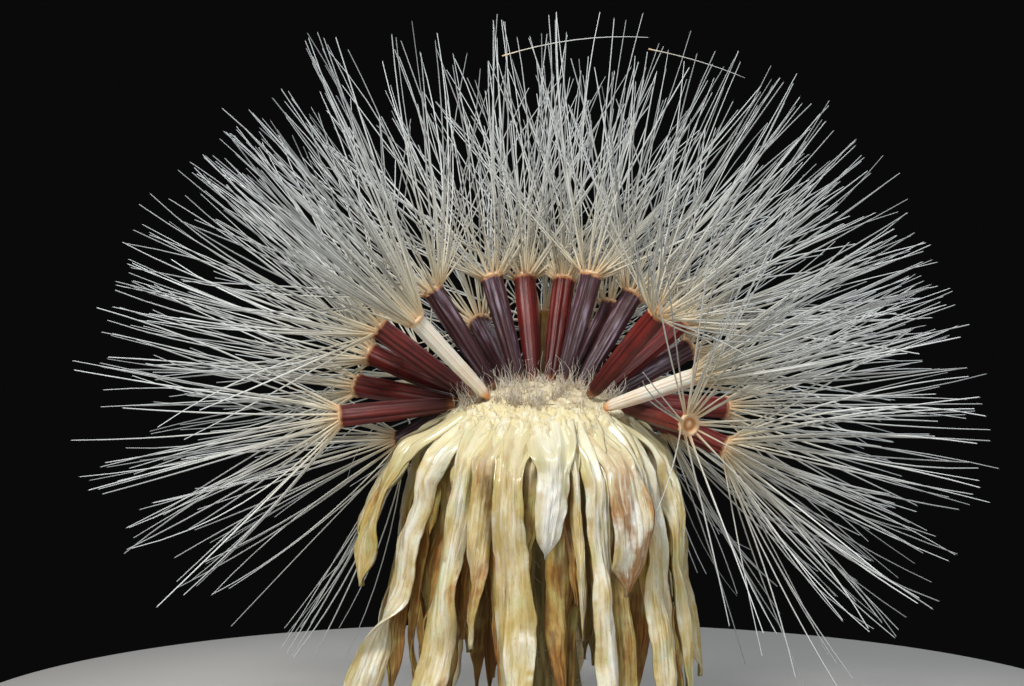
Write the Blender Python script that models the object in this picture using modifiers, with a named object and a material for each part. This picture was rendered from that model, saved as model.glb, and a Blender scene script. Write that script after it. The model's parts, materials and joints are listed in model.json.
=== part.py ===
"""Hawkweed seed head: a domed receptacle on a short cut stalk, two whorls of dried
reflexed bracts that it stands on, and ripe fruits that each carry a fan of bristles.

Metres, +Z up. The front, where most fruits have fallen, faces -Y. The origin is on
the floor, under the middle of the whole head.
"""

import math
from collections import namedtuple

import bmesh
import bpy
import numpy as np
from mathutils import Matrix, Vector

MM = 0.001
GOLDEN_TURN = math.pi * (3 - math.sqrt(5))

# Gap that touching pieces keep
GAP = 0.04 * MM

# Receptacle: a low dome on a cup that narrows into the stalk
DOME_TOP = 9.75 * MM
DOME_RISE = 0.80 * MM
DOME_RADIUS = 2.45 * MM
CUP_OUTLINE = (
    (2.38 * MM, 8.76 * MM),
    (2.02 * MM, 8.66 * MM),
    (1.96 * MM, 8.10 * MM),
    (1.25 * MM, 7.30 * MM),
)
STALK_RADIUS = 0.70 * MM
STALK_TOP = 6.50 * MM
STALK_BOW = 0.60 * MM
TURNED_SIDES = 28
DOME_RINGS = 4

# Ragged teeth that stand round the pits of the receptacle
TOOTH_COUNT = 90
TOOTH_HEIGHT = 0.34 * MM
TOOTH_WIDTH = 0.15 * MM
TOOTH_CLEARANCE = 0.24 * MM
TOOTH_SIDES = 3

# Achene: the ribbed, dry fruit
RIBS = 8
RIB_DEPTH = 0.11
ACHENE_LENGTH = 3.20 * MM
ACHENE_TOP_RADIUS = 0.33 * MM
ACHENE_FOOT_RADIUS = 0.13 * MM
ACHENE_CUTS = (0.15, 0.60)
ROOT_RING = 2.30 * MM

# Pappus: the collar on an achene and its bristles
COLLAR_DEPTH = 0.20 * MM
COLLAR_FOOT_RADIUS = 0.31 * MM
COLLAR_TOP_RADIUS = 0.38 * MM
COLLAR_SIDES = 9
BRISTLE_DISC = 0.32 * MM
BRISTLE_SUNK = 0.13 * MM
BRISTLE_LENGTH = 7.15 * MM
BRISTLE_LENGTH_VARIATION = 0.06
BRISTLE_RADIUS = 0.045 * MM
BRISTLE_GAP = 0.12 * MM
BRISTLE_ROOT_GAP = 0.10 * MM
ROOT_ROUNDS = 60
BRISTLES_TRIED = (34, 52, 78, 116)
FEWEST_BRISTLES = 24
NEIGHBOUR_MARGIN = math.radians(4)
LOWEST_BRISTLE = 0.50 * MM

# Bracts: dried straps that bend over the rim and hang down round the stalk
STRAP_RINGS = 9
STRAP_THICKNESS = 0.60 * MM
STRAP_TIP_THINNING = 0.30
STRAP_ROOT_WIDTH = 0.74
STRAP_SWELL = 0.40
STRAP_TIP_TAPER = 0.50
STRAP_KEEL = 0.16
STRAP_CREST = 0.055
STRAP_MIDDLE = 0.40
STRAP_BULGE_PLACE = 0.12
STRAP_TURN_POWER = 1.3

SEED = 41

Fruit = namedtuple("Fruit", "finish bearing rise spread root_turn")

# Finish of the achene, the way it points in plan, its rise above level, the half-angle
# of its bristles, and how far round the dome its root sits from the way it points.
# All angles are in degrees, and a bearing of -90 points to the front.
FRUITS = (
    Fruit("red", 179, -6, 48, 4),
    Fruit("red", 151, 5, 46, 16),
    Fruit("red", 156, 20, 46, -3),
    Fruit("red", 175, 36, 46, 0),
    Fruit("pale", -151, 45, 27, 0),
    Fruit("purple", 170, 57, 44, 0),
    Fruit("purple", 111, 31, 46, 0),
    Fruit("purple", 121, 62, 42, 0),
    Fruit("red", 99, 61, 42, 0),
    Fruit("ochre", 88, 33, 46, 0),
    Fruit("red", 76, 59, 42, 0),
    Fruit("purple", 52, 65, 42, 0),
    Fruit("purple", 61, 41, 46, 0),
    Fruit("purple", 75, 24, 46, 0),
    Fruit("purple", 43, 50, 44, 0),
    Fruit("red", -30, 48, 44, 0),
    Fruit("red", 28, 36, 46, 0),
    Fruit("purple", 36, 21, 46, 0),
    Fruit("pale", -33, 20, 22, -4),
    Fruit("red", -58, -3, 46, 44),
    Fruit("red", 20, -6, 46, 0),
    Fruit("red", -7, -23, 48, 4),
    Fruit("purple", 148, -30, 46, -8),
    Fruit("red", 129, 8, 46, -4),
    Fruit("purple", 104, 1, 46, -2),
    Fruit("red", 82, -6, 46, 4),
    Fruit("purple", 57, 2, 46, 0),
    Fruit("red", 44, -20, 46, 3),
)

# Bract: bearing of its root and how far it turns on the way down, in degrees, radius
# at two fifths of its length and at its tip, height of the tip, width, in millimetres,
# and its twist in degrees. A tip at height 0 stands on the floor.
Bract = namedtuple("Bract", "root turn middle tip lift width twist")
UPPER_BRACTS = (
    Bract(-166, 0, 4.45, 5.25, 4.3, 1.00, 25),
    Bract(-145, -9, 4.20, 6.10, 0.0, 1.20, -40),
    Bract(-125, -10, 3.90, 4.70, 0.0, 1.15, 30),
    Bract(-104, 4, 3.85, 4.75, 0.0, 1.20, -14),
    Bract(-85, -5, 3.65, 3.75, 5.4, 1.05, 8),
    Bract(-66, 5, 3.75, 4.60, 0.0, 1.05, -22),
    Bract(-44, 7, 3.90, 4.60, 0.4, 1.20, 24),
    Bract(-18, -6, 4.05, 4.35, 0.0, 1.05, -30),
    Bract(5, 3, 3.75, 4.50, 1.4, 1.05, 18),
    Bract(29, 5, 3.80, 4.70, 0.0, 1.10, -26),
    Bract(53, -4, 3.70, 4.40, 1.9, 1.05, 34),
    Bract(77, 3, 3.85, 4.80, 0.0, 1.15, -12),
    Bract(101, 6, 3.75, 4.60, 0.7, 1.05, 24),
    Bract(125, -5, 3.95, 5.00, 0.0, 1.10, -32),
    Bract(147, 4, 4.10, 5.20, 1.5, 1.05, 20),
    Bract(169, 1, 4.40, 5.10, 4.2, 0.95, 36),
)
LOWER_BRACTS = (
    Bract(-160, -6, 2.55, 3.00, 0.0, 0.80, 30),
    Bract(-118, 8, 2.45, 2.70, 1.2, 0.75, -24),
    Bract(-72, -5, 2.40, 2.75, 0.0, 0.80, 18),
    Bract(-30, 6, 2.45, 2.60, 0.8, 0.70, -35),
    Bract(12, -4, 2.40, 2.70, 0.0, 0.80, 26),
    Bract(55, 5, 2.45, 2.65, 1.6, 0.75, -16),
    Bract(98, -6, 2.50, 2.90, 0.0, 0.80, 22),
    Bract(148, 4, 2.55, 2.90, 0.9, 0.75, -28),
)

# Whorl: radius of the outside of its band of joined roots, height and half-depth of the
# band, its thickness, how far each strap stands out before it turns down, and how far
# it bulges out below that
Whorl = namedtuple("Whorl", "bracts radius height half_depth thickness shoulder bulge")
UPPER_WHORL = Whorl(
    UPPER_BRACTS, 2.45 * MM, 8.30 * MM, 0.30 * MM, 0.33 * MM, 0.40 * MM, 0.40 * MM
)
LOWER_WHORL = Whorl(
    LOWER_BRACTS, 1.66 * MM, 7.00 * MM, 0.26 * MM, 0.30 * MM, 0.42 * MM, 0.00 * MM
)

# Colour, roughness
FINISHES = {
    "receptacle_flesh": ((0.62, 0.55, 0.33), 0.80),
    "achene_red": ((0.17, 0.030, 0.022), 0.45),
    "achene_purple": ((0.085, 0.045, 0.065), 0.42),
    "achene_pale": ((0.70, 0.52, 0.34), 0.50),
    "achene_ochre": ((0.26, 0.14, 0.035), 0.50),
    "pappus_bristle": ((0.72, 0.69, 0.60), 0.55),
    "dry_bract": ((0.52, 0.42, 0.17), 0.45),
    "dry_lower_bract": ((0.34, 0.26, 0.10), 0.55),
}


def clear_scene():
    for item in list(bpy.data.objects):
        bpy.data.objects.remove(item, do_unlink=True)


def make_collection(name):
    collection = bpy.data.collections.new(name)
    bpy.context.scene.collection.children.link(collection)
    return collection


def make_material(name):
    colour, roughness = FINISHES[name]
    material = bpy.data.materials.new(name)
    material.use_nodes = True
    shader = material.node_tree.nodes["Principled BSDF"]
    shader.inputs["Base Color"].default_value = (*colour, 1)
    shader.inputs["Roughness"].default_value = roughness
    shader.inputs["Metallic"].default_value = 0
    material.diffuse_color = (*colour, 1)
    return material


def add_object(name, mesh, material, collection, smooth_angle=math.radians(40)):
    mesh.materials.clear()
    mesh.materials.append(material)
    mesh.shade_smooth()
    mesh.set_sharp_from_angle(angle=smooth_angle)
    item = bpy.data.objects.new(name, mesh)
    collection.objects.link(item)
    return item


def shape_object(bm, collection):
    """A nameless helper shape, which a union takes in."""
    mesh = bpy.data.meshes.new("shape")
    bm.to_mesh(mesh)
    bm.free()
    item = bpy.data.objects.new("shape", mesh)
    collection.objects.link(item)
    return item


def keep_main_body(mesh):
    """Drops the loose scraps and fills the sealed hollows that a union can leave."""
    bm = bmesh.new()
    bm.from_mesh(mesh)
    left = set(bm.verts)
    bodies = []
    while left:
        body = set()
        reached = [left.pop()]
        while reached:
            vertex = reached.pop()
            body.add(vertex)
            near = {edge.other_vert(vertex) for edge in vertex.link_edges} & left
            left -= near
            reached += near
        bodies.append(body)
    bodies.sort(key=len)
    for body in bodies[:-1]:
        bmesh.ops.delete(bm, geom=list(body), context="VERTS")
    bm.to_mesh(mesh)
    bm.free()


def fused_mesh(name, core, collection):
    """One mesh of the core and all shapes in the collection, which are then removed."""
    union = core.modifiers.new("union", "BOOLEAN")
    union.operation = "UNION"
    union.operand_type = "COLLECTION"
    union.collection = collection
    union.solver = "MANIFOLD"
    bpy.context.view_layer.update()
    graph = bpy.context.evaluated_depsgraph_get()
    mesh = bpy.data.meshes.new_from_object(core.evaluated_get(graph))
    mesh.name = name
    for item in [*collection.objects, core]:
        bpy.data.objects.remove(item, do_unlink=True)
    keep_main_body(mesh)
    return mesh


def cut_into_rings(bm, heights):
    for height in heights:
        bmesh.ops.bisect_plane(
            bm,
            geom=bm.verts[:] + bm.edges[:] + bm.faces[:],
            plane_co=(0, 0, height),
            plane_no=(0, 0, 1),
        )


def cone(sides, foot_radius, top_radius, foot, top):
    """A cone between two points."""
    bm = bmesh.new()
    line = Vector(top) - Vector(foot)
    turn = line.to_track_quat("Z", "Y").to_matrix().to_4x4()
    bmesh.ops.create_cone(
        bm,
        cap_ends=True,
        segments=sides,
        radius1=foot_radius,
        radius2=top_radius,
        depth=line.length,
        matrix=Matrix.Translation((Vector(foot) + Vector(top)) / 2) @ turn,
    )
    return bm


def heading(bearing, rise):
    """Unit vector of a bearing and a rise in radians."""
    level = math.cos(rise)
    return Vector(
        (level * math.cos(bearing), level * math.sin(bearing), math.sin(rise))
    )


def dome_height(radius):
    return DOME_TOP - DOME_RISE * (radius / DOME_RADIUS) ** 2


def dome_normal(point):
    slope = 2 * DOME_RISE / DOME_RADIUS**2
    return Vector((point.x * slope, point.y * slope, 1)).normalized()


def stalk_shift(height):
    """The stalk bows to one side below the cup."""
    return STALK_BOW * max(0, 1 - height / CUP_OUTLINE[-1][1]) ** 1.5


def fruit_axis(fruit):
    """Foot of the achene and the way it points."""
    axis = heading(math.radians(fruit.bearing), math.radians(fruit.rise))
    root_bearing = math.radians(fruit.bearing + fruit.root_turn)
    reach = ROOT_RING * math.cos(math.radians(fruit.rise))
    root = heading(root_bearing, 0) * reach
    root.z = dome_height(reach)
    normal = dome_normal(root)
    lift = ACHENE_FOOT_RADIUS * math.sqrt(max(0, 1 - axis.dot(normal) ** 2))
    return root + normal * (lift + GAP), axis


def receptacle_profile():
    rings = [
        (DOME_RADIUS * step / DOME_RINGS, dome_height(DOME_RADIUS * step / DOME_RINGS))
        for step in range(DOME_RINGS + 1)
    ]
    stalk = [
        (STALK_RADIUS, STALK_TOP * share) for share in (1.0, 0.75, 0.5, 0.25, 0.0)
    ]
    return [*rings, *CUP_OUTLINE, *stalk, (0, 0)]


def turned_core(collection):
    mesh = bpy.data.meshes.new("receptacle_profile")
    points = receptacle_profile()
    mesh.from_pydata(
        [(radius, 0, height) for radius, height in points],
        [(step, step + 1) for step in range(len(points) - 1)],
        [],
    )
    profile = bpy.data.objects.new("receptacle_profile", mesh)
    collection.objects.link(profile)
    screw = profile.modifiers.new("turn", "SCREW")
    screw.steps = TURNED_SIDES
    screw.render_steps = TURNED_SIDES
    screw.use_merge_vertices = True
    screw.merge_threshold = 0.000001
    bpy.context.view_layer.update()
    graph = bpy.context.evaluated_depsgraph_get()
    turned = bpy.data.meshes.new_from_object(profile.evaluated_get(graph))
    bpy.data.objects.remove(profile, do_unlink=True)
    for vertex in turned.vertices:
        vertex.co.x += stalk_shift(vertex.co.z)
    core = bpy.data.objects.new("receptacle_core", turned)
    collection.objects.link(core)
    return core


def tooth_places(feet):
    """Places spread over the dome in a spiral, away from the feet of the achenes."""
    for step in range(TOOTH_COUNT):
        radius = DOME_RADIUS * math.sqrt((step + 0.5) / TOOTH_COUNT) * 0.985
        turn = step * GOLDEN_TURN
        place = Vector((radius * math.cos(turn), radius * math.sin(turn), 0))
        place.z = dome_height(radius)
        if all((place - foot).length > TOOTH_CLEARANCE for foot, _ in feet):
            yield place


def make_receptacle(collection, helpers, feet, draw):
    core = turned_core(collection)
    for place in tooth_places(feet):
        normal = dome_normal(place)
        height = TOOTH_HEIGHT * draw.uniform(0.6, 1.15)
        lean = Vector(draw.uniform(-0.25, 0.25, 3)) * height
        if any((place + normal * height - foot).length < TOOTH_CLEARANCE for foot, _ in feet):
            continue
        foot = place - normal * TOOTH_WIDTH
        top = place + normal * height + lean
        shape_object(cone(TOOTH_SIDES, TOOTH_WIDTH, 0.01 * MM, foot, top), helpers)
    mesh = fused_mesh("receptacle_and_stalk", core, helpers)
    add_object(
        "receptacle_and_stalk", mesh, make_material("receptacle_flesh"), collection
    )


def achene_mesh(name):
    """A ribbed spindle along +Z with its foot at the origin."""
    bm = cone(RIBS * 2, 1, 1, (0, 0, 0), (0, 0, ACHENE_LENGTH))
    cut_into_rings(bm, [ACHENE_LENGTH * share for share in ACHENE_CUTS])
    for vertex in bm.verts:
        share = vertex.co.z / ACHENE_LENGTH
        swell = math.sin(math.pi * share) * 0.10 * ACHENE_TOP_RADIUS
        radius = ACHENE_FOOT_RADIUS + swell
        radius += (ACHENE_TOP_RADIUS - ACHENE_FOOT_RADIUS) * share**0.8
        turn = math.atan2(vertex.co.y, vertex.co.x)
        radius *= 1 + RIB_DEPTH * math.cos(RIBS * turn) * min(1, 4 * share)
        vertex.co.x = radius * math.cos(turn)
        vertex.co.y = radius * math.sin(turn)
    mesh = bpy.data.meshes.new(name)
    bm.to_mesh(mesh)
    bm.free()
    return mesh


def upright_on(foot, axis):
    """The matrix that carries +Z to the axis and the origin to the foot."""
    return Matrix.Translation(foot) @ axis.to_track_quat("Z", "Y").to_matrix().to_4x4()


def line_gap(start, end, starts, ends):
    """Least distance from one straight line to each of many."""
    along, others = end - start, ends - starts
    apart = start - starts
    own = along @ along
    each = (others * others).sum(1)
    cross = others @ along
    near = apart @ along
    far = (others * apart).sum(1)
    det = np.maximum(own * each - cross**2, 1e-30)
    share = np.clip((cross * far - near * each) / det, 0, 1)
    other_share = np.clip((cross * share + far) / each, 0, 1)
    share = np.clip((cross * other_share - near) / own, 0, 1)
    return np.linalg.norm(
        apart + share[:, None] * along - other_share[:, None] * others, axis=1
    )


def angle_off(points, tips, axes):
    """Angle between each axis and the way from its point to the tip."""
    ways = tips - points
    ways = ways / np.linalg.norm(ways, axis=-1, keepdims=True)
    return np.arccos(np.clip((ways * axes).sum(-1), -1, 1))


def bristle_ends(fruit, top, axis, tried, draw):
    """Tips spread evenly in the fruit's cone, seen from the middle of its collar."""
    turn = axis.to_track_quat("Z", "Y").to_matrix()
    flat = 1 - math.cos(math.radians(fruit.spread))
    for step in range(tried):
        off = math.acos(1 - flat * (step + 0.5) / tried)
        spin = step * GOLDEN_TURN + math.radians(fruit.bearing)
        outward = turn @ Vector((math.cos(spin), math.sin(spin), 0))
        length = BRISTLE_LENGTH * (1 + BRISTLE_LENGTH_VARIATION * draw.uniform(-1, 0.6))
        yield np.array(top + (axis * math.cos(off) + outward * math.sin(off)) * length)


def bristle_roots(ends, top, axis):
    """A root on the collar for each tip: below the tip, but pushed clear of the others."""
    across = ends - top
    across = across - (across @ axis)[:, None] * axis
    roots = across * BRISTLE_DISC / np.linalg.norm(across, axis=1).max()
    for _ in range(ROOT_ROUNDS):
        apart = roots[:, None] - roots[None]
        length = np.maximum(np.linalg.norm(apart, axis=2, keepdims=True), 1e-9)
        push = np.clip(BRISTLE_ROOT_GAP - length, 0, None) * apart / length
        roots = roots + 0.3 * push.sum(1)
        out = np.linalg.norm(roots, axis=1, keepdims=True)
        roots = roots * np.minimum(1, BRISTLE_DISC / out)
    return top + roots - axis * BRISTLE_SUNK


def lay_out_bristles(feet, bract_lines, draw):
    """Root and tip of each fruit's bristles, which stay clear of all other pieces.

    A bristle is kept where no other fruit points nearer to its tip. A crowded fruit
    tries more, so that it still carries a full fan.
    """
    lows = np.array([foot for foot, _ in feet])
    axes = np.array([axis for _, axis in feet])
    tops = lows + axes * (ACHENE_LENGTH + GAP + COLLAR_DEPTH)

    def is_clear(number, start, end, taken):
        others = [other for other in range(len(feet)) if other != number]
        off = angle_off(tops[number], end, axes[number])
        if end[2] < LOWEST_BRISTLE:
            return False
        if (angle_off(tops[others], end, axes[others]) < off - NEIGHBOUR_MARGIN).any():
            return False
        if len(taken) and line_gap(start, end, taken[:, 0], taken[:, 1]).min() < BRISTLE_GAP:
            return False
        if line_gap(start, end, *bract_lines).min() < STRAP_THICKNESS * 1.1:
            return False
        room = line_gap(start, end, lows[others], tops[others]).min()
        return room > COLLAR_TOP_RADIUS + BRISTLE_GAP

    laid = []
    for number, fruit in enumerate(FRUITS):
        top, axis = tops[number], axes[number]
        taken = np.array([line for lines in laid for line in lines])
        for tried in BRISTLES_TRIED:
            ends = [
                end
                for end in bristle_ends(fruit, Vector(top), feet[number][1], tried, draw)
                if is_clear(number, top, end, taken)
            ]
            if len(ends) >= FEWEST_BRISTLES:
                break
        lines = zip(bristle_roots(np.array(ends), top, axis), ends)
        laid.append([line for line in lines if is_clear(number, *line, taken)])
    return laid


def make_fruits(collection, helpers, feet, laid):
    materials = {
        finish: make_material("achene_" + finish)
        for finish in sorted({fruit.finish for fruit in FRUITS})
    }
    white = make_material("pappus_bristle")
    for number, fruit in enumerate(FRUITS):
        foot, axis = feet[number]
        name = f"achene_{number + 1:02d}"
        achene = add_object(
            name, achene_mesh(name), materials[fruit.finish], collection, math.radians(25)
        )
        achene.matrix_world = upright_on(foot, axis)
        low = foot + axis * (ACHENE_LENGTH + GAP)
        high = low + axis * COLLAR_DEPTH
        core = shape_object(
            cone(COLLAR_SIDES, COLLAR_FOOT_RADIUS, COLLAR_TOP_RADIUS, low, high), collection
        )
        for start, end in laid[number]:
            shape_object(cone(3, BRISTLE_RADIUS, 0, start, end), helpers)
        name = f"pappus_{number + 1:02d}"
        add_object(name, fused_mesh(name, core, helpers), white, collection)


def strap_bearing(bract, share):
    return math.radians(bract.root + bract.turn * share**STRAP_TURN_POWER)


def strap_path(whorl, bract, share):
    """A point on the middle of a strap, from its root at 0 to its tip at 1."""
    turned_down = 1 - math.exp(-share / STRAP_CREST)
    start = whorl.radius + whorl.shoulder
    middle, tip = bract.middle * MM - start, bract.tip * MM - start
    radius = whorl.radius + whorl.shoulder * turned_down
    radius += middle * share * (1 - share) / (STRAP_MIDDLE * (1 - STRAP_MIDDLE))
    radius += tip * share * (share - STRAP_MIDDLE) / (1 - STRAP_MIDDLE)
    reach = share / STRAP_BULGE_PLACE
    radius += whorl.bulge * reach * math.exp(1 - reach)
    drop = (whorl.height - bract.lift * MM) / (1 - STRAP_CREST)
    height = whorl.height - drop * max(0, share - STRAP_CREST * turned_down)
    bearing = strap_bearing(bract, share)
    return Vector((radius * math.cos(bearing), radius * math.sin(bearing), height))


def strap_ring(whorl, bract, share):
    """Six corners round a strap: three across its upper side, then three below."""
    middle = strap_path(whorl, bract, share)
    ahead = strap_path(whorl, bract, min(1, share + 0.01))
    along = (ahead - strap_path(whorl, bract, max(0, share - 0.01))).normalized()
    side = heading(strap_bearing(bract, share) + math.pi / 2, 0)
    side = (side - along * side.dot(along)).normalized()
    twist = math.radians(bract.twist) * share**STRAP_TURN_POWER
    side = Matrix.Rotation(twist, 3, along) @ side
    through = side.cross(along)
    half_width = bract.width * MM / 2 * (1 - STRAP_TIP_TAPER * share**4)
    half_width *= STRAP_ROOT_WIDTH + STRAP_SWELL * math.sin(math.pi * min(1, share + 0.1))
    keel = through * STRAP_KEEL * half_width * math.sin(math.pi * share)
    half_depth = through * STRAP_THICKNESS / 2 * (1 - STRAP_TIP_THINNING * share**3)
    ring = []
    for level in (1, -1):
        for across in (-1, 0, 1):
            corner = middle + side * across * half_width + half_depth * level
            ring.append(corner + keel * (1 - abs(across)))
    if share == 1 and bract.lift == 0:
        for corner in ring:
            corner.z = 0
    return ring


def band_ring(whorl, bearing):
    """Four corners of the band at a bearing: outside top and bottom, inside top and bottom."""
    return [
        heading(bearing, 0) * radius + Vector((0, 0, whorl.height + rise))
        for radius in (whorl.radius, whorl.radius - whorl.thickness)
        for rise in (whorl.half_depth, -whorl.half_depth)
    ]


def make_whorl(name, whorl, finish, collection):
    """A whorl of straps that grow out of the band of their joined roots, as one mesh."""
    corners, faces, lines = [], [], []

    def add(points):
        corners.extend(points)
        return list(range(len(corners) - len(points), len(corners)))

    columns = []
    for bract in whorl.bracts:
        root = strap_ring(whorl, bract, 0)
        half_turn = math.asin((root[2] - root[0]).length / 2 / whorl.radius)
        for turn in (-half_turn, 0, half_turn):
            columns.append(add(band_ring(whorl, math.radians(bract.root) + turn)))
    for number, (here, there) in enumerate(zip(columns, columns[1:] + columns[:1])):
        top, low, inner_top, inner_low = zip(here, there)
        faces.append((top[0], top[1], inner_top[1], inner_top[0]))
        faces.append((inner_top[0], inner_top[1], inner_low[1], inner_low[0]))
        faces.append((inner_low[0], inner_low[1], low[1], low[0]))
        if number % 3 == 2:
            faces.append((low[0], low[1], top[1], top[0]))
    for number, bract in enumerate(whorl.bracts):
        sides = columns[3 * number : 3 * number + 3]
        last = [column[0] for column in sides] + [column[1] for column in sides]
        for step in range(1, STRAP_RINGS + 1):
            ring = add(strap_ring(whorl, bract, (step / STRAP_RINGS) ** 1.6))
            for one, two in ((0, 1), (1, 2), (2, 5), (5, 4), (4, 3), (3, 0)):
                faces.append((last[one], ring[one], ring[two], last[two]))
            last = ring
        faces.append([last[corner] for corner in (0, 3, 4, 5, 2, 1)])
        line = [strap_path(whorl, bract, step / 10) for step in range(11)]
        lines += zip(line[:-1], line[1:])
    mesh = bpy.data.meshes.new(name)
    mesh.from_pydata([tuple(corner) for corner in corners], [], faces)
    bm = bmesh.new()
    bm.from_mesh(mesh)
    bmesh.ops.recalc_face_normals(bm, faces=bm.faces[:])
    bm.to_mesh(mesh)
    bm.free()
    add_object(name, mesh, make_material(finish), collection, math.radians(30))
    return lines


def seat_on_origin(collection):
    """Moves the head so that the origin is on the floor, under the middle of its box."""
    corners = np.array(
        [
            item.matrix_world @ vertex.co
            for item in collection.objects
            for vertex in item.data.vertices
        ]
    )
    lowest, highest = corners.min(0), corners.max(0)
    middle = (lowest + highest) / 2
    shift = Matrix.Translation((-middle[0], -middle[1], -lowest[2]))
    for item in collection.objects:
        item.matrix_world = shift @ item.matrix_world


def main():
    clear_scene()
    draw = np.random.default_rng(SEED)
    collection = make_collection("hawkweed_seed_head")
    helpers = make_collection("shapes_to_join")
    feet = [fruit_axis(fruit) for fruit in FRUITS]
    lines = make_whorl("upper_bracts", UPPER_WHORL, "dry_bract", collection)
    lines += make_whorl("lower_bracts", LOWER_WHORL, "dry_lower_bract", collection)
    make_receptacle(collection, helpers, feet, draw)
    lines = np.array(lines)
    laid = lay_out_bristles(feet, (lines[:, 0], lines[:, 1]), draw)
    make_fruits(collection, helpers, feet, laid)
    bpy.data.collections.remove(helpers)
    bpy.context.view_layer.update()
    seat_on_origin(collection)


main()
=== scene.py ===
"""Ripe hawkweed seed head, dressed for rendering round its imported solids.

Ribbed achenes with fans of barbed bristles stand on a woolly domed receptacle, over a
skirt of dried, reflexed bracts. All sizes are in metres, and +Z is up.
"""

import json
import math
from collections import namedtuple

import bmesh
import bpy
import numpy as np
from bpy.props import FloatProperty, FloatVectorProperty, IntProperty, PointerProperty
from mathutils import Matrix, Vector, noise


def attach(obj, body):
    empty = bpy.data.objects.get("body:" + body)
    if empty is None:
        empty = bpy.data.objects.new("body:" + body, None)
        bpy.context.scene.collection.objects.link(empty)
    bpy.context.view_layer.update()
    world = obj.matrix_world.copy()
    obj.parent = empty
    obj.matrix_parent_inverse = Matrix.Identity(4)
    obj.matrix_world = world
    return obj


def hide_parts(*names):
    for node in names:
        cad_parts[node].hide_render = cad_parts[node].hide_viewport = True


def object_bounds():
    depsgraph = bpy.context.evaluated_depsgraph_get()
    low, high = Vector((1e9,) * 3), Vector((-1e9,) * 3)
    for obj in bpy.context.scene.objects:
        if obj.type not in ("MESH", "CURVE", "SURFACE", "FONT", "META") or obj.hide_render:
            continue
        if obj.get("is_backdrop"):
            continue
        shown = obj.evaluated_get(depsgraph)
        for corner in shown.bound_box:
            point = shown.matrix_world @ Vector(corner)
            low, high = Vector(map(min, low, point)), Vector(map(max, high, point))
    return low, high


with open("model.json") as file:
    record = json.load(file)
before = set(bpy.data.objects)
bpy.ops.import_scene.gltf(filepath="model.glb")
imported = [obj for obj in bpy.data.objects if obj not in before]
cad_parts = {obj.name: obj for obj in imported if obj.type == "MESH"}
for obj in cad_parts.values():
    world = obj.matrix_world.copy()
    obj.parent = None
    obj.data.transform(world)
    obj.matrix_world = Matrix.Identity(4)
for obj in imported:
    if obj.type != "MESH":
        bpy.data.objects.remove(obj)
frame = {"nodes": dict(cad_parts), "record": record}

bl_info = {
    "name": "Hawkweed Seed Head",
    "version": (1, 0, 0),
    "blender": (4, 5, 0),
    "location": "3D View > Sidebar > Hawkweed",
    "description": "Builds a ripe hawkweed seed head in fine detail",
    "category": "Add Mesh",
}

MM = 0.001
GOLDEN_TURN = math.pi * (3 - math.sqrt(5))
BODY = "root"

# A solid's corners are an achene's end within this depth, and bristle tips past this
# distance from its top
END_DEPTH = 0.02 * MM
TIP_DISTANCE = 5 * MM
# Main sizes of the solids, which the finer pieces repeat
DOME_TOP = 9.75 * MM
DOME_RISE = 0.80 * MM
DOME_RADIUS = 2.45 * MM
STALK_RADIUS = 0.70 * MM
STALK_BOW = 0.60 * MM
STALK_BOW_TOP = 7.30 * MM
# Room that the skirt of bracts takes, by height
SKIRT_HEIGHTS = (0, 4 * MM, 7 * MM, 8.3 * MM, 9.1 * MM)
SKIRT_RADII = (5.4 * MM, 4.8 * MM, 4.3 * MM, 3.4 * MM, 2.7 * MM)
# Shares of a strap's length at which it has turned down, is at its middle and bulges,
# and the power by which its turn sideways grows
STRAP_CREST = 0.055
STRAP_MIDDLE = 0.40
STRAP_BULGE_PLACE = 0.12
STRAP_TURN_POWER = 1.3
# Grid of a blade, and sides of the turned pieces
BLADE_COLUMNS = 21
BLADE_ROWS = 58
DOME_SIDES = 250
STALK_SIDES = 72
FLOOR_SIDES = 160

# How far bristles keep from the floor and from the middle of another achene
FLOOR_CLEARANCE = 0.25 * MM
ACHENE_CLEARANCE = 0.40 * MM
# Collar: radius and height of each ring, in millimetres, how fluted it is and how brown
COLLAR_RINGS = (
    (0.000, -0.02, 0.0, 0.0), (0.280, -0.02, 0.0, 0.0), (0.325, 0.00, 0.3, 0.0),
    (0.335, 0.03, 0.8, 0.0), (0.330, 0.06, 1.0, 0.0), (0.310, 0.09, 1.0, 0.0),
    (0.270, 0.10, 0.8, 0.0), (0.225, 0.07, 0.4, 0.0), (0.175, 0.03, 0.0, 1.0),
    (0.120, 0.02, 0.0, 1.0), (0.075, 0.05, 0.0, 0.35), (0.000, 0.06, 0.0, 0.3),
)
COLLAR_SIDES = 44
COLLAR_FLUTES = 22
# Radius and height of the receptacle's flank, in millimetres, down to the stalk
FLANK_OUTLINE = (
    (1.72, 9.36), (1.90, 9.30), (2.08, 9.23), (2.24, 9.16), (2.36, 9.08), (2.47, 8.99),
    (2.56, 8.90), (2.64, 8.80), (2.72, 8.68), (2.79, 8.54), (2.85, 8.40), (2.89, 8.26),
    (2.91, 8.10), (2.88, 7.95), (2.78, 7.82), (2.55, 7.76), (2.20, 7.74), (1.80, 7.62),
    (1.45, 7.42), (1.20, 7.20), (1.00, 6.98), (0.86, 6.76), (0.74, 6.60), (0.40, 6.45),
    (0.00, 6.40),
)

# Achene with its bristles: number, slot, foot, direction, length and bristle tips
Fruit = namedtuple("Fruit", "number slot foot axis length tips")

# Least and greatest lean of the bristles, in degrees, where a fan isn't like the others:
# two stay bundled, and the one that faces the front is spread flat
FAN_ANGLES = {"05": (2, 15), "19": (3, 20), "20": (40, 80)}
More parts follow.
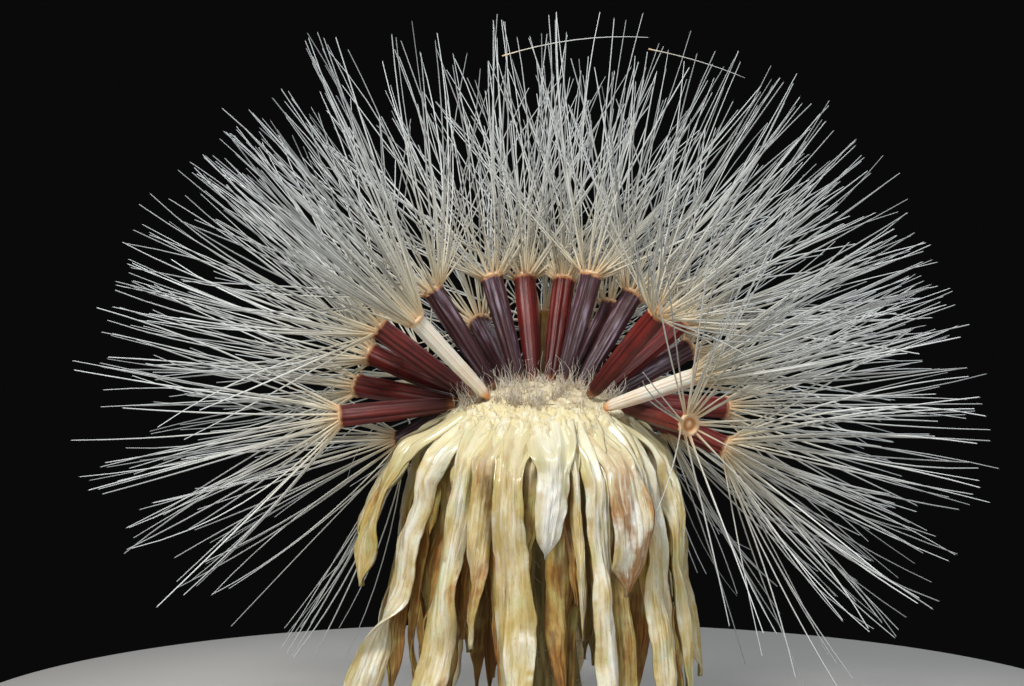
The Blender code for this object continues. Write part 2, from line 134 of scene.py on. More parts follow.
# The way in which a fan has lost its bristles
LOST_SIDES = {"20": (-1.0, 0.0, -0.35)}
# Where long bristles of a fan cling together: their tips' middle, in millimetres, how far
# they scatter round it, and how many there are
BUNDLES = {"05": ((-6.05, -4.0, 19.20), 0.22, 11)}
# Shed bristles that lie across the tips of the others: both ends and the rise of the
# middle, in millimetres from the receptacle's axis
LOOSE_BRISTLES = (
    ((-1.05, -1.0, 18.90), (2.95, -0.8, 19.40), (0.0, 0.0, 0.19)),
    ((2.95, -1.2, 19.10), (5.60, -0.9, 18.30), (0.05, 0.0, 0.06)),
)

# Blade: bearing of its root and how far it turns on the way down, in degrees, radius at
# two fifths of its length and at its tip, height of the tip, widths at its top, middle
# and tip, in millimetres, how far it is rolled at its top and low down, its twist and
# where along its length that sits, how brown it is and how pale
Blade = namedtuple("Blade", "root turn middle tip lift widths rolls twist place stain tone")
UPPER_BLADES = (
    (-164, 0, 4.35, 5.20, 4.3, (0.95, 0.85, 0.62), (40, 12), -30, 0.72, 0.45, 0.48),
    (-145, -9, 4.15, 6.10, 0.0, (0.98, 0.86, 1.25), (44, 14), 105, 0.60, 0.16, 0.80),
    (-125, -10, 3.90, 4.70, 0.0, (0.80, 0.78, 1.05), (46, 22), -30, 0.55, 0.26, 0.64),
    (-104, 4, 3.85, 4.75, 0.0, (0.88, 1.00, 1.30), (36, 16), 8, 0.50, 0.30, 0.58),
    (-84, -4, 3.65, 3.80, 5.4, (0.94, 1.00, 0.66), (40, 26), 6, 0.50, 0.00, 1.16),
    (-66, 5, 3.75, 4.60, 0.0, (0.76, 0.78, 0.95), (46, 24), -20, 0.50, 0.20, 0.88),
    (-44, 7, 3.90, 4.60, 0.4, (0.80, 0.80, 0.80), (46, 24), 26, 0.65, 0.30, 0.70),
    (-18, -6, 4.05, 4.35, 0.0, (0.90, 0.85, 0.70), (48, 20), -30, 0.60, 0.22, 0.66),
    (5, 3, 3.75, 4.50, 1.4, (0.90, 0.90, 0.70), (56, 25), 24, 0.50, 0.30, 0.60),
    (29, 5, 3.80, 4.70, 0.0, (0.90, 0.90, 1.00), (48, 20), -36, 0.60, 0.20, 0.75),
    (53, -4, 3.70, 4.40, 1.9, (0.90, 0.85, 0.75), (58, 32), 44, 0.55, 0.45, 0.50),
    (77, 3, 3.85, 4.80, 0.0, (0.92, 1.00, 1.15), (42, 18), -14, 0.50, 0.24, 0.70),
    (101, 6, 3.75, 4.60, 0.7, (0.88, 0.85, 0.85), (56, 28), 30, 0.60, 0.30, 0.62),
    (125, -5, 3.95, 5.00, 0.0, (0.90, 0.90, 1.10), (52, 20), -80, 0.66, 0.20, 0.78),
    (147, 4, 4.10, 5.20, 1.5, (0.88, 0.85, 0.80), (56, 24), 32, 0.60, 0.40, 0.55),
    (169, 1, 4.40, 5.10, 4.2, (0.88, 0.80, 0.45), (56, 28), 40, 0.60, 0.26, 0.70),
)
# Between and in front of those: short, stained and grass-like ones
OUTER_BLADES = (
    (-54, -2, 4.05, 4.15, 4.3, (0.95, 1.40, 1.05), (34, 20), 6, 0.50, 0.74, 0.96),
    (-75, 4, 3.45, 3.60, 3.1, (0.34, 0.30, 0.20), (80, 50), 30, 0.60, 0.30, 0.70),
    (-115, -3, 3.60, 4.05, 2.9, (0.84, 0.62, 0.26), (46, 24), 50, 0.60, 0.50, 0.52),
    (-33, 5, 3.70, 4.10, 1.2, (0.46, 0.50, 0.36), (80, 40), -40, 0.55, 0.10, 0.85),
    (17, 2, 3.60, 3.95, 3.4, (0.50, 0.60, 0.35), (80, 40), 35, 0.55, 0.70, 0.40),
    (65, -3, 3.60, 4.05, 3.0, (0.46, 0.56, 0.34), (80, 40), -45, 0.55, 0.20, 0.80),
    (113, 2, 3.65, 4.20, 2.2, (0.50, 0.60, 0.40), (80, 40), 30, 0.60, 0.60, 0.45),
    (158, -2, 3.95, 4.50, 2.4, (0.46, 0.56, 0.34), (80, 40), -30, 0.55, 0.10, 0.75),
)
INNER_BLADES = (
    (-155, 4, 3.55, 3.90, 1.6, (0.70, 0.75, 0.45), (50, 20), 30, 0.60, 0.50, 0.10),
    (-137, -2, 3.35, 4.15, 0.3, (0.70, 0.75, 0.60), (50, 20), -60, 0.55, 0.60, 0.15),
    (-115, 10, 3.20, 3.55, 1.1, (0.60, 0.45, 0.34), (50, 30), 120, 0.75, 0.70, 0.10),
    (-95, -4, 3.10, 3.15, 4.9, (0.70, 0.75, 0.35), (50, 20), 20, 0.50, 0.30, 0.20),
    (-75, 3, 3.15, 3.30, 4.0, (0.70, 0.70, 0.40), (50, 20), -20, 0.50, 0.80, 0.05),
    (-51, -4, 3.40, 4.20, 0.0, (0.66, 0.70, 0.62), (50, 25), 20, 0.60, 0.55, 0.30),
    (-31, 7, 3.60, 4.10, 0.2, (0.66, 0.70, 0.50), (50, 25), -50, 0.60, 0.60, 0.12),
    (-8, 4, 3.50, 3.90, 1.0, (0.70, 0.72, 0.50), (50, 25), 60, 0.60, 0.40, 0.20),
    (16, -3, 3.30, 3.80, 0.6, (0.66, 0.70, 0.50), (50, 25), -40, 0.55, 0.60, 0.15),
    (41, 5, 3.30, 3.70, 2.0, (0.70, 0.75, 0.45), (50, 25), 30, 0.60, 0.50, 0.20),
    (66, -4, 3.30, 3.95, 0.3, (0.66, 0.70, 0.55), (50, 25), 50, 0.60, 0.70, 0.10),
    (90, 4, 3.20, 3.60, 1.8, (0.70, 0.70, 0.45), (50, 25), -30, 0.60, 0.40, 0.25),
    (114, 3, 3.30, 3.90, 0.4, (0.66, 0.72, 0.55), (50, 25), 40, 0.60, 0.60, 0.15),
    (137, -5, 3.40, 4.00, 1.2, (0.70, 0.75, 0.50), (50, 25), -50, 0.60, 0.50, 0.20),
    (178, 4, 3.60, 4.20, 0.8, (0.70, 0.75, 0.55), (50, 25), 60, 0.60, 0.60, 0.15),
)
# Shrivelled ones close to the stalk, which close the gaps between the others
FILLER_BLADES = tuple(
    (
        -176 + 24 * step, 8 * math.sin(step * 2.3), 3.02 + 0.14 * math.sin(step * 1.7),
        3.30 + 0.45 * math.sin(step * 2.9), 1.6 + 1.4 * math.sin(step * 4.1),
        (0.84, 0.92, 0.50), (34, 30), 60 * math.sin(step * 1.3), 0.60,
        0.60 + 0.25 * math.sin(step * 3.7), 0.12 + 0.16 * math.sin(step * 2.1),
    )
    for step in range(15)
)
LOWER_BLADES = (
    (-160, -6, 2.55, 3.00, 0.0, (0.60, 0.75, 0.60), (60, 30), 40, 0.60, 0.60, 0.15),
    (-118, 8, 2.45, 2.70, 1.2, (0.60, 0.70, 0.50), (60, 30), -34, 0.60, 0.80, 0.05),
    (-72, -5, 2.40, 2.75, 0.0, (0.60, 0.75, 0.60), (60, 30), 28, 0.60, 0.70, 0.10),
    (-30, 6, 2.45, 2.60, 0.8, (0.60, 0.70, 0.50), (60, 30), -45, 0.60, 0.60, 0.20),
    (12, -4, 2.40, 2.70, 0.0, (0.60, 0.75, 0.60), (60, 30), 36, 0.60, 0.80, 0.10),
    (55, 5, 2.45, 2.65, 1.6, (0.60, 0.70, 0.50), (60, 30), -26, 0.60, 0.50, 0.20),
    (98, -6, 2.50, 2.90, 0.0, (0.60, 0.75, 0.60), (60, 30), 32, 0.60, 0.70, 0.10),
    (148, 4, 2.55, 2.90, 0.9, (0.60, 0.70, 0.50), (60, 30), -38, 0.60, 0.60, 0.15),
)
# Whorl: its rows of blades, radius and height of their roots, how far they stand out
# before they turn down and bulge below that, and their width where they grow together
Whorl = namedtuple("Whorl", "blades radius height shoulder bulge root_width")
UPPER_WHORL = Whorl(UPPER_BLADES, 2.45 * MM, 8.30 * MM, 0.40 * MM, 0.40 * MM, 1.30)
OUTER_WHORL = Whorl(OUTER_BLADES, 2.40 * MM, 8.22 * MM, 0.40 * MM, 0.40 * MM, 1.00)
INNER_WHORL = Whorl(INNER_BLADES, 2.10 * MM, 8.05 * MM, 0.40 * MM, 0.30 * MM, 0.80)
FILLER_WHORL = Whorl(FILLER_BLADES, 1.95 * MM, 7.95 * MM, 0.40 * MM, 0.25 * MM, 0.80)
LOWER_WHORL = Whorl(LOWER_BLADES, 1.66 * MM, 7.00 * MM, 0.42 * MM, 0.00 * MM, 0.60)


def math_operator(operation, reflected=False):
    """A method that adds a Math node for a socket and another socket or a number."""

    def method(self, other):
        return self.net.math(operation, *((other, self) if reflected else (self, other)))

    return method


class Wire:
    """A socket of a node tree. Operators on it add Math nodes to the tree."""

    __add__ = math_operator("ADD")
    __radd__ = math_operator("ADD", reflected=True)
    __sub__ = math_operator("SUBTRACT")
    __rsub__ = math_operator("SUBTRACT", reflected=True)
    __mul__ = math_operator("MULTIPLY")
    __rmul__ = math_operator("MULTIPLY", reflected=True)
    __pow__ = math_operator("POWER")

    def __init__(self, net, socket):
        self.net = net
        self.socket = socket

    def math(self, operation, *others):
        return self.net.math(operation, self, *others)

    def step(self, low, high):
        """0 below the low value, 1 above the high one, and smooth between them."""
        settings = {"interpolation_type": "SMOOTHSTEP"}
        return self.net.add(
            "ShaderNodeMapRange", settings, Value=self, From_Min=low, From_Max=high
        )

    def out(self, name):
        """Another output of the node that this socket is on."""
        return Wire(self.net, self.socket.node.outputs[name])


class Net:
    """A node tree, with one way to add a node of any type."""

    def __init__(self, tree):
        self.tree = tree

    def add(self, kind, settings=None, *first, output=0, **values):
        """Adds a node with its settings, then its sockets' values or links: the first
        ones in order, and others by their names."""
        node = self.tree.nodes.new(kind)
        for name, value in (settings or {}).items():
            if name == "stops":
                self.set_stops(node.color_ramp, value)
            else:
                setattr(node, name, value)
        for key, value in (dict(enumerate(first)) | values).items():
            self.feed(self.find(node.inputs, key), value)
        return Wire(self, self.find(node.outputs, output))

    def find(self, sockets, key):
        """A socket by its number, or by its name with underscores for spaces."""
        if isinstance(key, int):
            return sockets[key]
        keys = (key, key.replace("_", " "))
        return next(socket for socket in sockets if socket.identifier in keys or socket.name in keys)

    def feed(self, socket, value):
        """Links a wire to a socket, or sets the socket's value."""
        if isinstance(value, Wire):
            self.tree.links.new(value.socket, socket)
        elif socket.type == "RGBA" and len(value) == 3:
            socket.default_value = (*value, 1)
        else:
            socket.default_value = value

    def set_stops(self, ramp, stops):
        while len(ramp.elements) < len(stops):
            ramp.elements.new(1)
        for element, (position, colour) in zip(ramp.elements, stops):
            element.position = position
            element.color = (*colour, 1)

    def math(self, operation, *values):
        return self.add("ShaderNodeMath", {"operation": operation}, *values)

    def vector(self, operation, *values, output=0):
        settings = {"operation": operation}
        return self.add("ShaderNodeVectorMath", settings, *values, output=output)

    def scaled(self, vector, factor):
        return self.add("ShaderNodeVectorMath", {"operation": "SCALE"}, vector, Scale=factor)

    def joined(self, x, y, z):
        return self.add("ShaderNodeCombineXYZ", None, x, y, z)

    def split(self, vector):
        parts = self.add("ShaderNodeSeparateXYZ", None, vector)
        return [parts.out(name) for name in "XYZ"]

    def mix(self, factor, first, second, blend="MIX"):
        """A colour between two."""
        settings = {"data_type": "RGBA", "blend_type": blend}
        colours = {"A_Color": first, "B_Color": second}
        return self.add("ShaderNodeMix", settings, factor, output="Result_Color", **colours)

    def noise(self, vector, scale, detail=3.0, roughness=0.5):
        return self.add(
            "ShaderNodeTexNoise", Vector=vector, Scale=scale, Detail=detail, Roughness=roughness
        )

    def ramp(self, value, stops):
        return self.add("ShaderNodeValToRGB", {"stops": stops}, value)


# Materials


class Finish(Net):
    """The node tree of a new material, with its main shader."""

    def __init__(self, name):
        self.material = bpy.data.materials.new(name)
        self.material.use_nodes = True
        super().__init__(self.material.node_tree)
        self.shader = self.tree.nodes["Principled BSDF"]

    def set(self, **values):
        """Sets or links the main shader's sockets, as base_color for Base Color."""
        sockets = {socket.name.lower(): socket for socket in self.shader.inputs}
        for name, value in values.items():
            self.feed(sockets[name.replace("_", " ")], value)

    def place(self):
        """Object coordinates in millimetres."""
        return self.scaled(self.add("ShaderNodeTexCoord", output="Object"), 1 / MM)

    def read(self, *names):
        """The values that the surface holds under these names."""
        kind = "ShaderNodeAttribute"
        return [self.add(kind, {"attribute_name": name}, output="Fac") for name in names]

    def bump(self, height, depth, strength):
        kind = "ShaderNodeBump"
        self.set(normal=self.add(kind, Height=height, Distance=depth, Strength=strength))


def bristle_finish(sizes):
    """Off-white bristles, cream near the collar, which is orange-brown in its middle; past their roots
    some bristles, chosen at random, carry painted shade.
    """
    finish = Finish("pappus_bristle")
    along, tone, hub = finish.read("along", "tone", "hub")
    stops = (
        (0.000, sizes.collar_colour),
        (0.025, (0.86, 0.69, 0.45)),
        (0.080, (0.86, 0.79, 0.61)),
        (0.240, (0.88, 0.86, 0.76)),
        (0.480, sizes.bristle_colour),
        (1.000, (0.86, 0.92, 0.94)),
    )
    # Painted shade: past the root, a bristle with a low random tone is darkened, as if it stood in shade
    # behind the others
    painted_shade = 1.0 - along.step(0.0, 0.25) * 0.62 * (1.0 - tone)
    colour = finish.ramp(along, stops)
    colour = finish.mix(1.0, colour, finish.joined(painted_shade, painted_shade, painted_shade), "MULTIPLY")
    colour = finish.mix(hub, colour, (0.58, 0.25, 0.08))
    finish.set(base_color=colour, roughness=0.38, specular_ior_level=0.55)
    finish.bump(finish.noise(finish.place(), 26.0, 2.0), 0.004 * MM, 0.6)
    return finish.material


def achene_finish(name, dark, light, painted_sheen, painted_sheen_amount, foot_colour, roughness):
    """Ribbed achene skin: dark furrows, a painted sheen on some of its faces, painted shade towards the
    foot and an orange rim.
    """
    finish = Finish(name)
    along, rib, spin = finish.read("along", "rib", "spin")
    streaks = finish.noise(finish.joined(spin * 14.0, along * 2.2, spin), 1.0, 4.0, 0.6)
    faces = finish.noise(finish.joined(spin * 4.5, along * 0.9, spin), 1.0, 1.0)
    rungs = finish.noise(finish.joined(spin * 9.0, along * 150.0, spin), 1.0, 3.0, 0.6)
    blotch = finish.noise(finish.place(), 1.7, 3.0)
    colour = finish.mix(rib.step(0.0, 0.8) * (0.25 + 0.75 * streaks), dark, light)
    colour = finish.mix(blotch.step(0.42, 0.68) * 0.55, colour, dark)
    # Painted sheen: streaks on some faces, stronger on the ribs, are mixed towards a pale sheen colour
    # as highlights
    painted_sheen_mask = faces.step(0.47, 0.56) * (0.25 + 0.75 * rib) * (0.6 + 0.4 * rungs)
    painted_sheen_mask = painted_sheen_mask * streaks.step(0.42, 0.58)
    colour = finish.mix(painted_sheen_mask * painted_sheen_amount, colour, painted_sheen)
    # Painted shade: the achene darkens towards its foot, where the receptacle and the neighbouring
    # achenes shade it
    colour = finish.mix(0.85 - along.step(0.0, 0.80) * 0.85, colour, dark)
    foot = 1.0 - along.step(0.0, 0.09)
    colour = finish.mix(foot * 0.8, colour, foot_colour)
    ragged = along + 0.03 * streaks
    colour = finish.mix(ragged.step(0.99, 1.012) * 0.85, colour, (0.70, 0.34, 0.14))
    roughness = roughness - 0.10 * painted_sheen_mask + 0.15 * rungs
    finish.set(base_color=colour, roughness=roughness, specular_ior_level=0.45)
    finish.bump(rungs * 0.2 + streaks * 0.8, 0.030 * MM, 0.7)
    return finish.material


def pale_achene_finish(name):
    """Unripe achene: creamy ribs, peach furrows and bands, an orange foot."""
    finish = Finish(name)
    along, rib, spin = finish.read("along", "rib", "spin")
    streaks = finish.noise(finish.joined(spin * 11.0, along * 3.0, spin), 1.0, 4.0, 0.6)
    rungs = finish.noise(finish.joined(spin * 6.0, along * 120.0, spin), 1.0, 2.0)
    bands = finish.noise(finish.joined(0.3, along * 4.0, 0.7), 1.0, 2.0)
    colour = finish.mix(rib.step(0.05, 0.75), (0.86, 0.60, 0.38), (0.98, 0.92, 0.80))
    colour = finish.mix(streaks.step(0.45, 0.70) * 0.55, colour, (0.98, 0.96, 0.90))
    colour = finish.mix(bands.step(0.52, 0.66) * 0.35, colour, (0.90, 0.66, 0.46))
    colour = finish.mix(1.0 - along.step(0.0, 0.13), colour, (0.80, 0.33, 0.09))
    colour = finish.mix(along.step(0.95, 0.985) * 0.7, colour, (0.84, 0.56, 0.34))
    finish.set(base_color=colour, roughness=0.36 + 0.2 * rungs)
    finish.set(subsurface_weight=0.18, subsurface_scale=0.25 * MM)
    finish.bump(rungs, 0.012 * MM, 0.6)
    return finish.material


def receptacle_finish():
    """Cream flesh: greener on its flank, greyish wool on its dome, tan in the pits."""
    finish = Finish("receptacle_flesh")
    place = finish.place()
    pit, flank = finish.read("pit", "flank")
    mottle = finish.noise(place, 3.2, 4.0, 0.6)
    fibres = finish.noise(finish.vector("MULTIPLY", place, (16.0, 16.0, 3.0)), 1.0, 4.0, 0.65)
    colour = finish.mix(mottle.step(0.35, 0.65), (0.70, 0.58, 0.36), (0.90, 0.83, 0.60))
    colour = finish.mix(pit.step(0.25, 0.9) * 0.75, colour, (0.40, 0.25, 0.12))
    green = finish.mix(mottle.step(0.42, 0.60), (0.84, 0.74, 0.43), (0.90, 0.86, 0.66))
    green = finish.mix(fibres.step(0.38, 0.46) * -0.5 + 0.5, green, (0.72, 0.52, 0.30))
    colour = finish.mix(flank, colour, green)
    colour = finish.mix(fibres.step(0.55, 0.75) * 0.35, colour, (0.92, 0.90, 0.82))
    finish.set(base_color=colour, roughness=0.62 + 0.25 * fibres, sheen_weight=0.15)
    finish.bump(fibres + mottle * 0.5, 0.03 * MM, 0.7)
    return finish.material


def wool_finish(name, root_colour, tip_colour):
    """Fine hairs, darker and browner at their roots."""
    finish = Finish(name)
    along, tone = finish.read("along", "tone")
    colour = finish.mix(along.step(0.0, 0.8), root_colour, tip_colour)
    colour = finish.mix(tone * 0.4, colour, root_colour)
    finish.set(base_color=colour, roughness=0.5)
    finish.bump(finish.noise(finish.place(), 30.0, 2.0), 0.005 * MM, 0.5)
    return finish.material


def bract_finish(name, sizes, dullness):
    """Dry bract: lengthwise veins, brown stretches, gold stretches that are partly painted light shining
    through thin tissue, and glossy pale folds.
    """
    finish = Finish(name)
    place = finish.place()
    across, along, _ = finish.split(finish.add("ShaderNodeUVMap", {"uv_map": "blade"}))
    tone, stain, margin = finish.read("tone", "stain", "margin")
    shift = tone * 37.0 + stain * 11.0
    veins = finish.noise(finish.joined(across * 7.0 + shift, along * 0.9, shift), 1.0, 5.0, 0.62)
    fine = finish.noise(finish.joined(across * 15.0, along * 1.5, shift), 1.0, 4.0, 0.65)
    patches = finish.noise(finish.joined(across * 0.8, along * 1.1 + shift, shift), 1.0, 3.0, 0.55)
    grime = finish.noise(place, 1.3, 4.0, 0.6)
    specks = finish.noise(place, 11.0, 3.0, 0.6)
    paler = tone + 1.5 * (veins - 0.5) + 1.1 * (patches - 0.5) + 0.5 * (fine - 0.5)
    stops = (
        (0.00, (0.26, 0.14, 0.03)),
        (0.22, (0.52, 0.37, 0.11)),
        (0.45, sizes.straw_colour),
        (0.70, sizes.cream_colour),
        (1.00, (0.95, 0.93, 0.84)),
    )
    colour = finish.ramp(paler, stops)
    # Amber margins: partly their own amber colour, partly painted light shining through the thin tissue
    margin_amber_and_backlight = margin.step(0.20, 0.90) * (patches + 0.3 * veins).step(0.50, 0.70)
    colour = finish.mix(margin_amber_and_backlight * 0.80, colour, (0.54, 0.38, 0.09))
    hem = margin.step(0.50, 0.92) * (1.0 - (patches + 0.3 * veins).step(0.46, 0.64))
    colour = finish.mix(hem * tone.step(0.2, 0.6) * 0.65, colour, (0.93, 0.93, 0.80))
    # Amber zones: partly their own amber colour, partly painted light shining through thin tissue; kept
    # off the palest blades
    amber_and_backlight = finish.noise(finish.joined(across * 1.2 - shift, along * 0.5, shift), 1.0, 3.0, 0.6)
    amber_and_backlight = amber_and_backlight.step(0.52, 0.64) * (1.0 - tone.step(0.95, 1.1))
    colour = finish.mix(amber_and_backlight * 0.45, colour, (0.60, 0.42, 0.12))
    green = patches.step(0.50, 0.64) * fine.step(0.30, 0.60)
    colour = finish.mix(green * 0.55, colour, (0.58, 0.60, 0.24))
    papery = finish.noise(finish.joined(across * 3.0, along * 0.7 - shift, shift), 1.0, 4.0, 0.6)
    papery = papery.step(0.46, 0.72) * tone.step(0.3, 0.8)
    colour = finish.mix(papery * 0.60, colour, (0.94, 0.92, 0.84))
    reach = 0.72 - 0.36 * stain
    smear = finish.noise(finish.joined(across * 1.9 + shift, along * 0.42, shift), 1.0, 3.0, 0.55)
    brown = ((grime * 0.35 + smear * 0.65) - reach + 0.5).step(0.46, 0.58) * veins.step(0.22, 0.50)
    rust = finish.mix(fine.step(0.35, 0.65), (0.19, 0.055, 0.008), (0.52, 0.25, 0.05))
    colour = finish.mix(brown * 0.92, colour, rust)
    colour = finish.mix(specks.step(0.66, 0.73) * 0.5, colour, (0.26, 0.13, 0.05))
    grooves = (1.0 - fine.step(0.34, 0.46)) * (0.35 + 0.65 * patches)
    colour = finish.mix(grooves * 0.60, colour, (0.42, 0.29, 0.10))
    top = 1.0 - (along + 0.9 * fine).step(0.7, 1.7)
    colour = finish.mix(top * 0.55, colour, (0.93, 0.87, 0.58))
    gloss = (patches + 0.4 * papery).step(0.36, 0.58) * tone.step(0.2, 0.6) * (1.0 - brown)
    finish.set(
        base_color=colour,
        roughness=dullness - 0.20 * gloss + 0.10 * fine,
        coat_weight=0.2 + 0.8 * gloss,
    )
    finish.set(coat_roughness=0.15, subsurface_weight=0.12, subsurface_scale=0.2 * MM)
    finish.bump(veins * 0.5 + fine * 0.5, 0.10 * MM, 0.9)
    return finish.material


def stalk_finish():
    """Olive-ochre, furrowed and downy stalk."""
    finish = Finish("stalk_skin")
    place = finish.place()
    furrows = finish.noise(finish.vector("MULTIPLY", place, (7.0, 7.0, 0.55)), 1.0, 5.0, 0.62)
    mottle = finish.noise(place, 1.6, 4.0, 0.6)
    colour = finish.mix(furrows.step(0.35, 0.65), (0.17, 0.13, 0.035), (0.50, 0.42, 0.17))
    colour = finish.mix(mottle.step(0.50, 0.68) * 0.7, colour, (0.32, 0.17, 0.06))
    colour = finish.mix(mottle.step(0.30, 0.44) * -0.6 + 0.6, colour, (0.36, 0.34, 0.09))
    finish.set(base_color=colour, roughness=0.60 + 0.2 * furrows)
    finish.bump(furrows, 0.06 * MM, 0.8)
    return finish.material


def floor_finish(colour):
    """Dull, faintly mottled floor."""
    finish = Finish("pale_floor")
    mottle = finish.noise(finish.place(), 0.35, 3.0)
    colour = finish.mix(mottle * 0.06, tuple(colour), (0.44, 0.43, 0.41))
    finish.set(base_color=colour, roughness=0.85)
    return finish.material


# Geometry-node trees


class Shaper(Net):
    """A new geometry-node tree with a geometry in and out, and named inputs: numbers,
    whole numbers, words, a seed and a material."""

    def __init__(self, name, numbers, whole=(), words=()):
        tree = bpy.data.node_groups.new(name, "GeometryNodeTree")
        super().__init__(tree)
        kinds = {"Float": numbers, "Int": (*whole, "Seed"), "String": words, "Material": ("Material",)}
        for side in ("INPUT", "OUTPUT"):
            tree.interface.new_socket("Geometry", in_out=side, socket_type="NodeSocketGeometry")
        self.keys = {}
        for kind, labels in kinds.items():
            for label in labels:
                kind_name = "NodeSocket" + kind
                socket = tree.interface.new_socket(label, in_out="INPUT", socket_type=kind_name)
                self.keys[label] = socket.identifier
        self.start = tree.nodes.new("NodeGroupInput")

    def given(self, *labels):
        wires = [Wire(self, self.start.outputs[label]) for label in labels]
        return wires if len(wires) > 1 else wires[0]

    def named(self, name, kind="FLOAT"):
        return self.add("GeometryNodeInputNamedAttribute", {"data_type": kind}, Name=name)

    def stored(self, geometry, name, value, domain="POINT"):
        settings = {"data_type": "FLOAT", "domain": domain}
        values = {"Geometry": geometry, "Name": name, "Value": value}
        return self.add("GeometryNodeStoreNamedAttribute", settings, **values)

    def random(self, low, high, offset):
        values = {"Min_001": low, "Max_001": high, "Seed": self.given("Seed") + float(offset)}
        settings = {"data_type": "FLOAT"}
        return self.add("FunctionNodeRandomValue", settings, output="Value_001", **values)

    def along(self, way):
        """A rotation that takes +Z to a direction."""
        return self.add("FunctionNodeAlignRotationToVector", {"axis": "Z"}, Vector=way)

    def leaning(self, way, least, most, seed):
        """A rotation along a direction, spun at random and then leant by a random angle."""
        rotation = self.along(way)
        for axis, low, high in (((0, 0, 1), 0.0, math.tau), ((1, 0, 0), least, most)):
            angle = self.random(low, high, seed)
            turn = self.add("FunctionNodeAxisAngleToRotation", Axis=axis, Angle=angle)
            settings = {"rotation_space": "LOCAL"}
            values = {"Rotation": rotation, "Rotate_By": turn}
            rotation = self.add("FunctionNodeRotateRotation", settings, **values)
            seed += 1
        return rotation

    def copies(self, points, instance, rotation, size):
        values = {"Points": points, "Instance": instance, "Rotation": rotation}
        scale = self.joined(size, size, size)
        return self.add("GeometryNodeInstanceOnPoints", Scale=scale, **values)

    def curves(self, instances):
        """Instances of a curve made real, with how far along each of its points is."""
        curves = self.add("GeometryNodeRealizeInstances", Geometry=instances)
        along = self.add("GeometryNodeSplineParameter")
        return self.stored(curves, "along", along), along

    def moved(self, geometry, offset):
        return self.add("GeometryNodeSetPosition", Geometry=geometry, Offset=offset)

    def tube(self, curve, sides, radius):
        profile = self.add("GeometryNodeCurvePrimitiveCircle", Resolution=sides, Radius=1.0)
        values = {"Curve": curve, "Profile_Curve": profile, "Scale": radius}
        return self.add("GeometryNodeCurveToMesh", Fill_Caps=True, **values)

    def smoothed(self, geometry):
        return self.add("GeometryNodeSetShadeSmooth", Geometry=geometry)

    def end(self, *parts):
        """Joins the parts, makes them real and gives them the tree's material."""
        geometry = self.add("GeometryNodeJoinGeometry", None, parts[0])
        for part in parts[1:]:
            self.tree.links.new(part.socket, geometry.socket.node.inputs[0])
        geometry = self.add("GeometryNodeRealizeInstances", Geometry=geometry)
        material = self.given("Material")
        geometry = self.add("GeometryNodeSetMaterial", Geometry=geometry, Material=material)
        self.tree.links.new(geometry.socket, self.tree.nodes.new("NodeGroupOutput").inputs[0])


def fan_tree():
    """Grows a barbed bristle from each loose point, along its reach."""
    net = Shaper("Bristle Fan", ("Thickness", "Barb Length"), ("Segments", "Barbs"))
    geometry, thickness, segments = net.given("Geometry", "Thickness", "Segments")
    reach = net.named("reach", "FLOAT_VECTOR")
    length = net.vector("LENGTH", reach, output="Value")
    has_reach = length.math("GREATER_THAN", 1e-5)
    settings = {"domain": "POINT"}
    parts = net.add("GeometryNodeSeparateGeometry", settings, Geometry=geometry, Selection=has_reach)
    line = net.add("GeometryNodeCurvePrimitiveLine", Start=(0, 0, 0), End=(0, 0, 1))
    line = net.add("GeometryNodeResampleCurve", Curve=line, Count=segments)
    grown = net.copies(parts, line, net.along(reach), length)
    # A random tone for each bristle, which the bristle finish turns into painted shade
    grown = net.stored(grown, "tone", net.random(0.0, 1.0, 2), "INSTANCE")
    grown = net.stored(grown, "girth", net.random(0.75, 1.25, 6), "INSTANCE")
    curves, along = net.curves(grown)
    arch = 4.0 * along * (1.0 - along)
    curves = net.moved(curves, net.scaled(net.named("bow", "FLOAT_VECTOR"), arch))
    root_flare = 1.0 + 0.6 * (1.0 - along.step(0.0, 0.16))
    radius = thickness * net.named("girth") * root_flare * (1.0 - 0.52 * along**2.0)
    tubes = net.smoothed(net.tube(curves, 4, radius))
    settings = {"mode": "COUNT"}
    spots = net.add("GeometryNodeCurveToPoints", settings, Curve=curves, Count=net.given("Barbs"))
    cone = {"Vertices": 3, "Radius_Top": 0.0, "Radius_Bottom": thickness * 0.36}
    settings = {"fill_type": "NGON"}
    barb = net.add("GeometryNodeMeshCone", settings, Depth=net.given("Barb Length"), **cone)
    lean = net.leaning(spots.out("Tangent"), 0.20, 0.42, 3)
    size = net.random(0.55, 1.2, 5) * (1.0 - 0.45 * net.named("along"))
    net.end(parts.out("Inverted"), tubes, net.copies(spots, barb, lean, size))
    return net


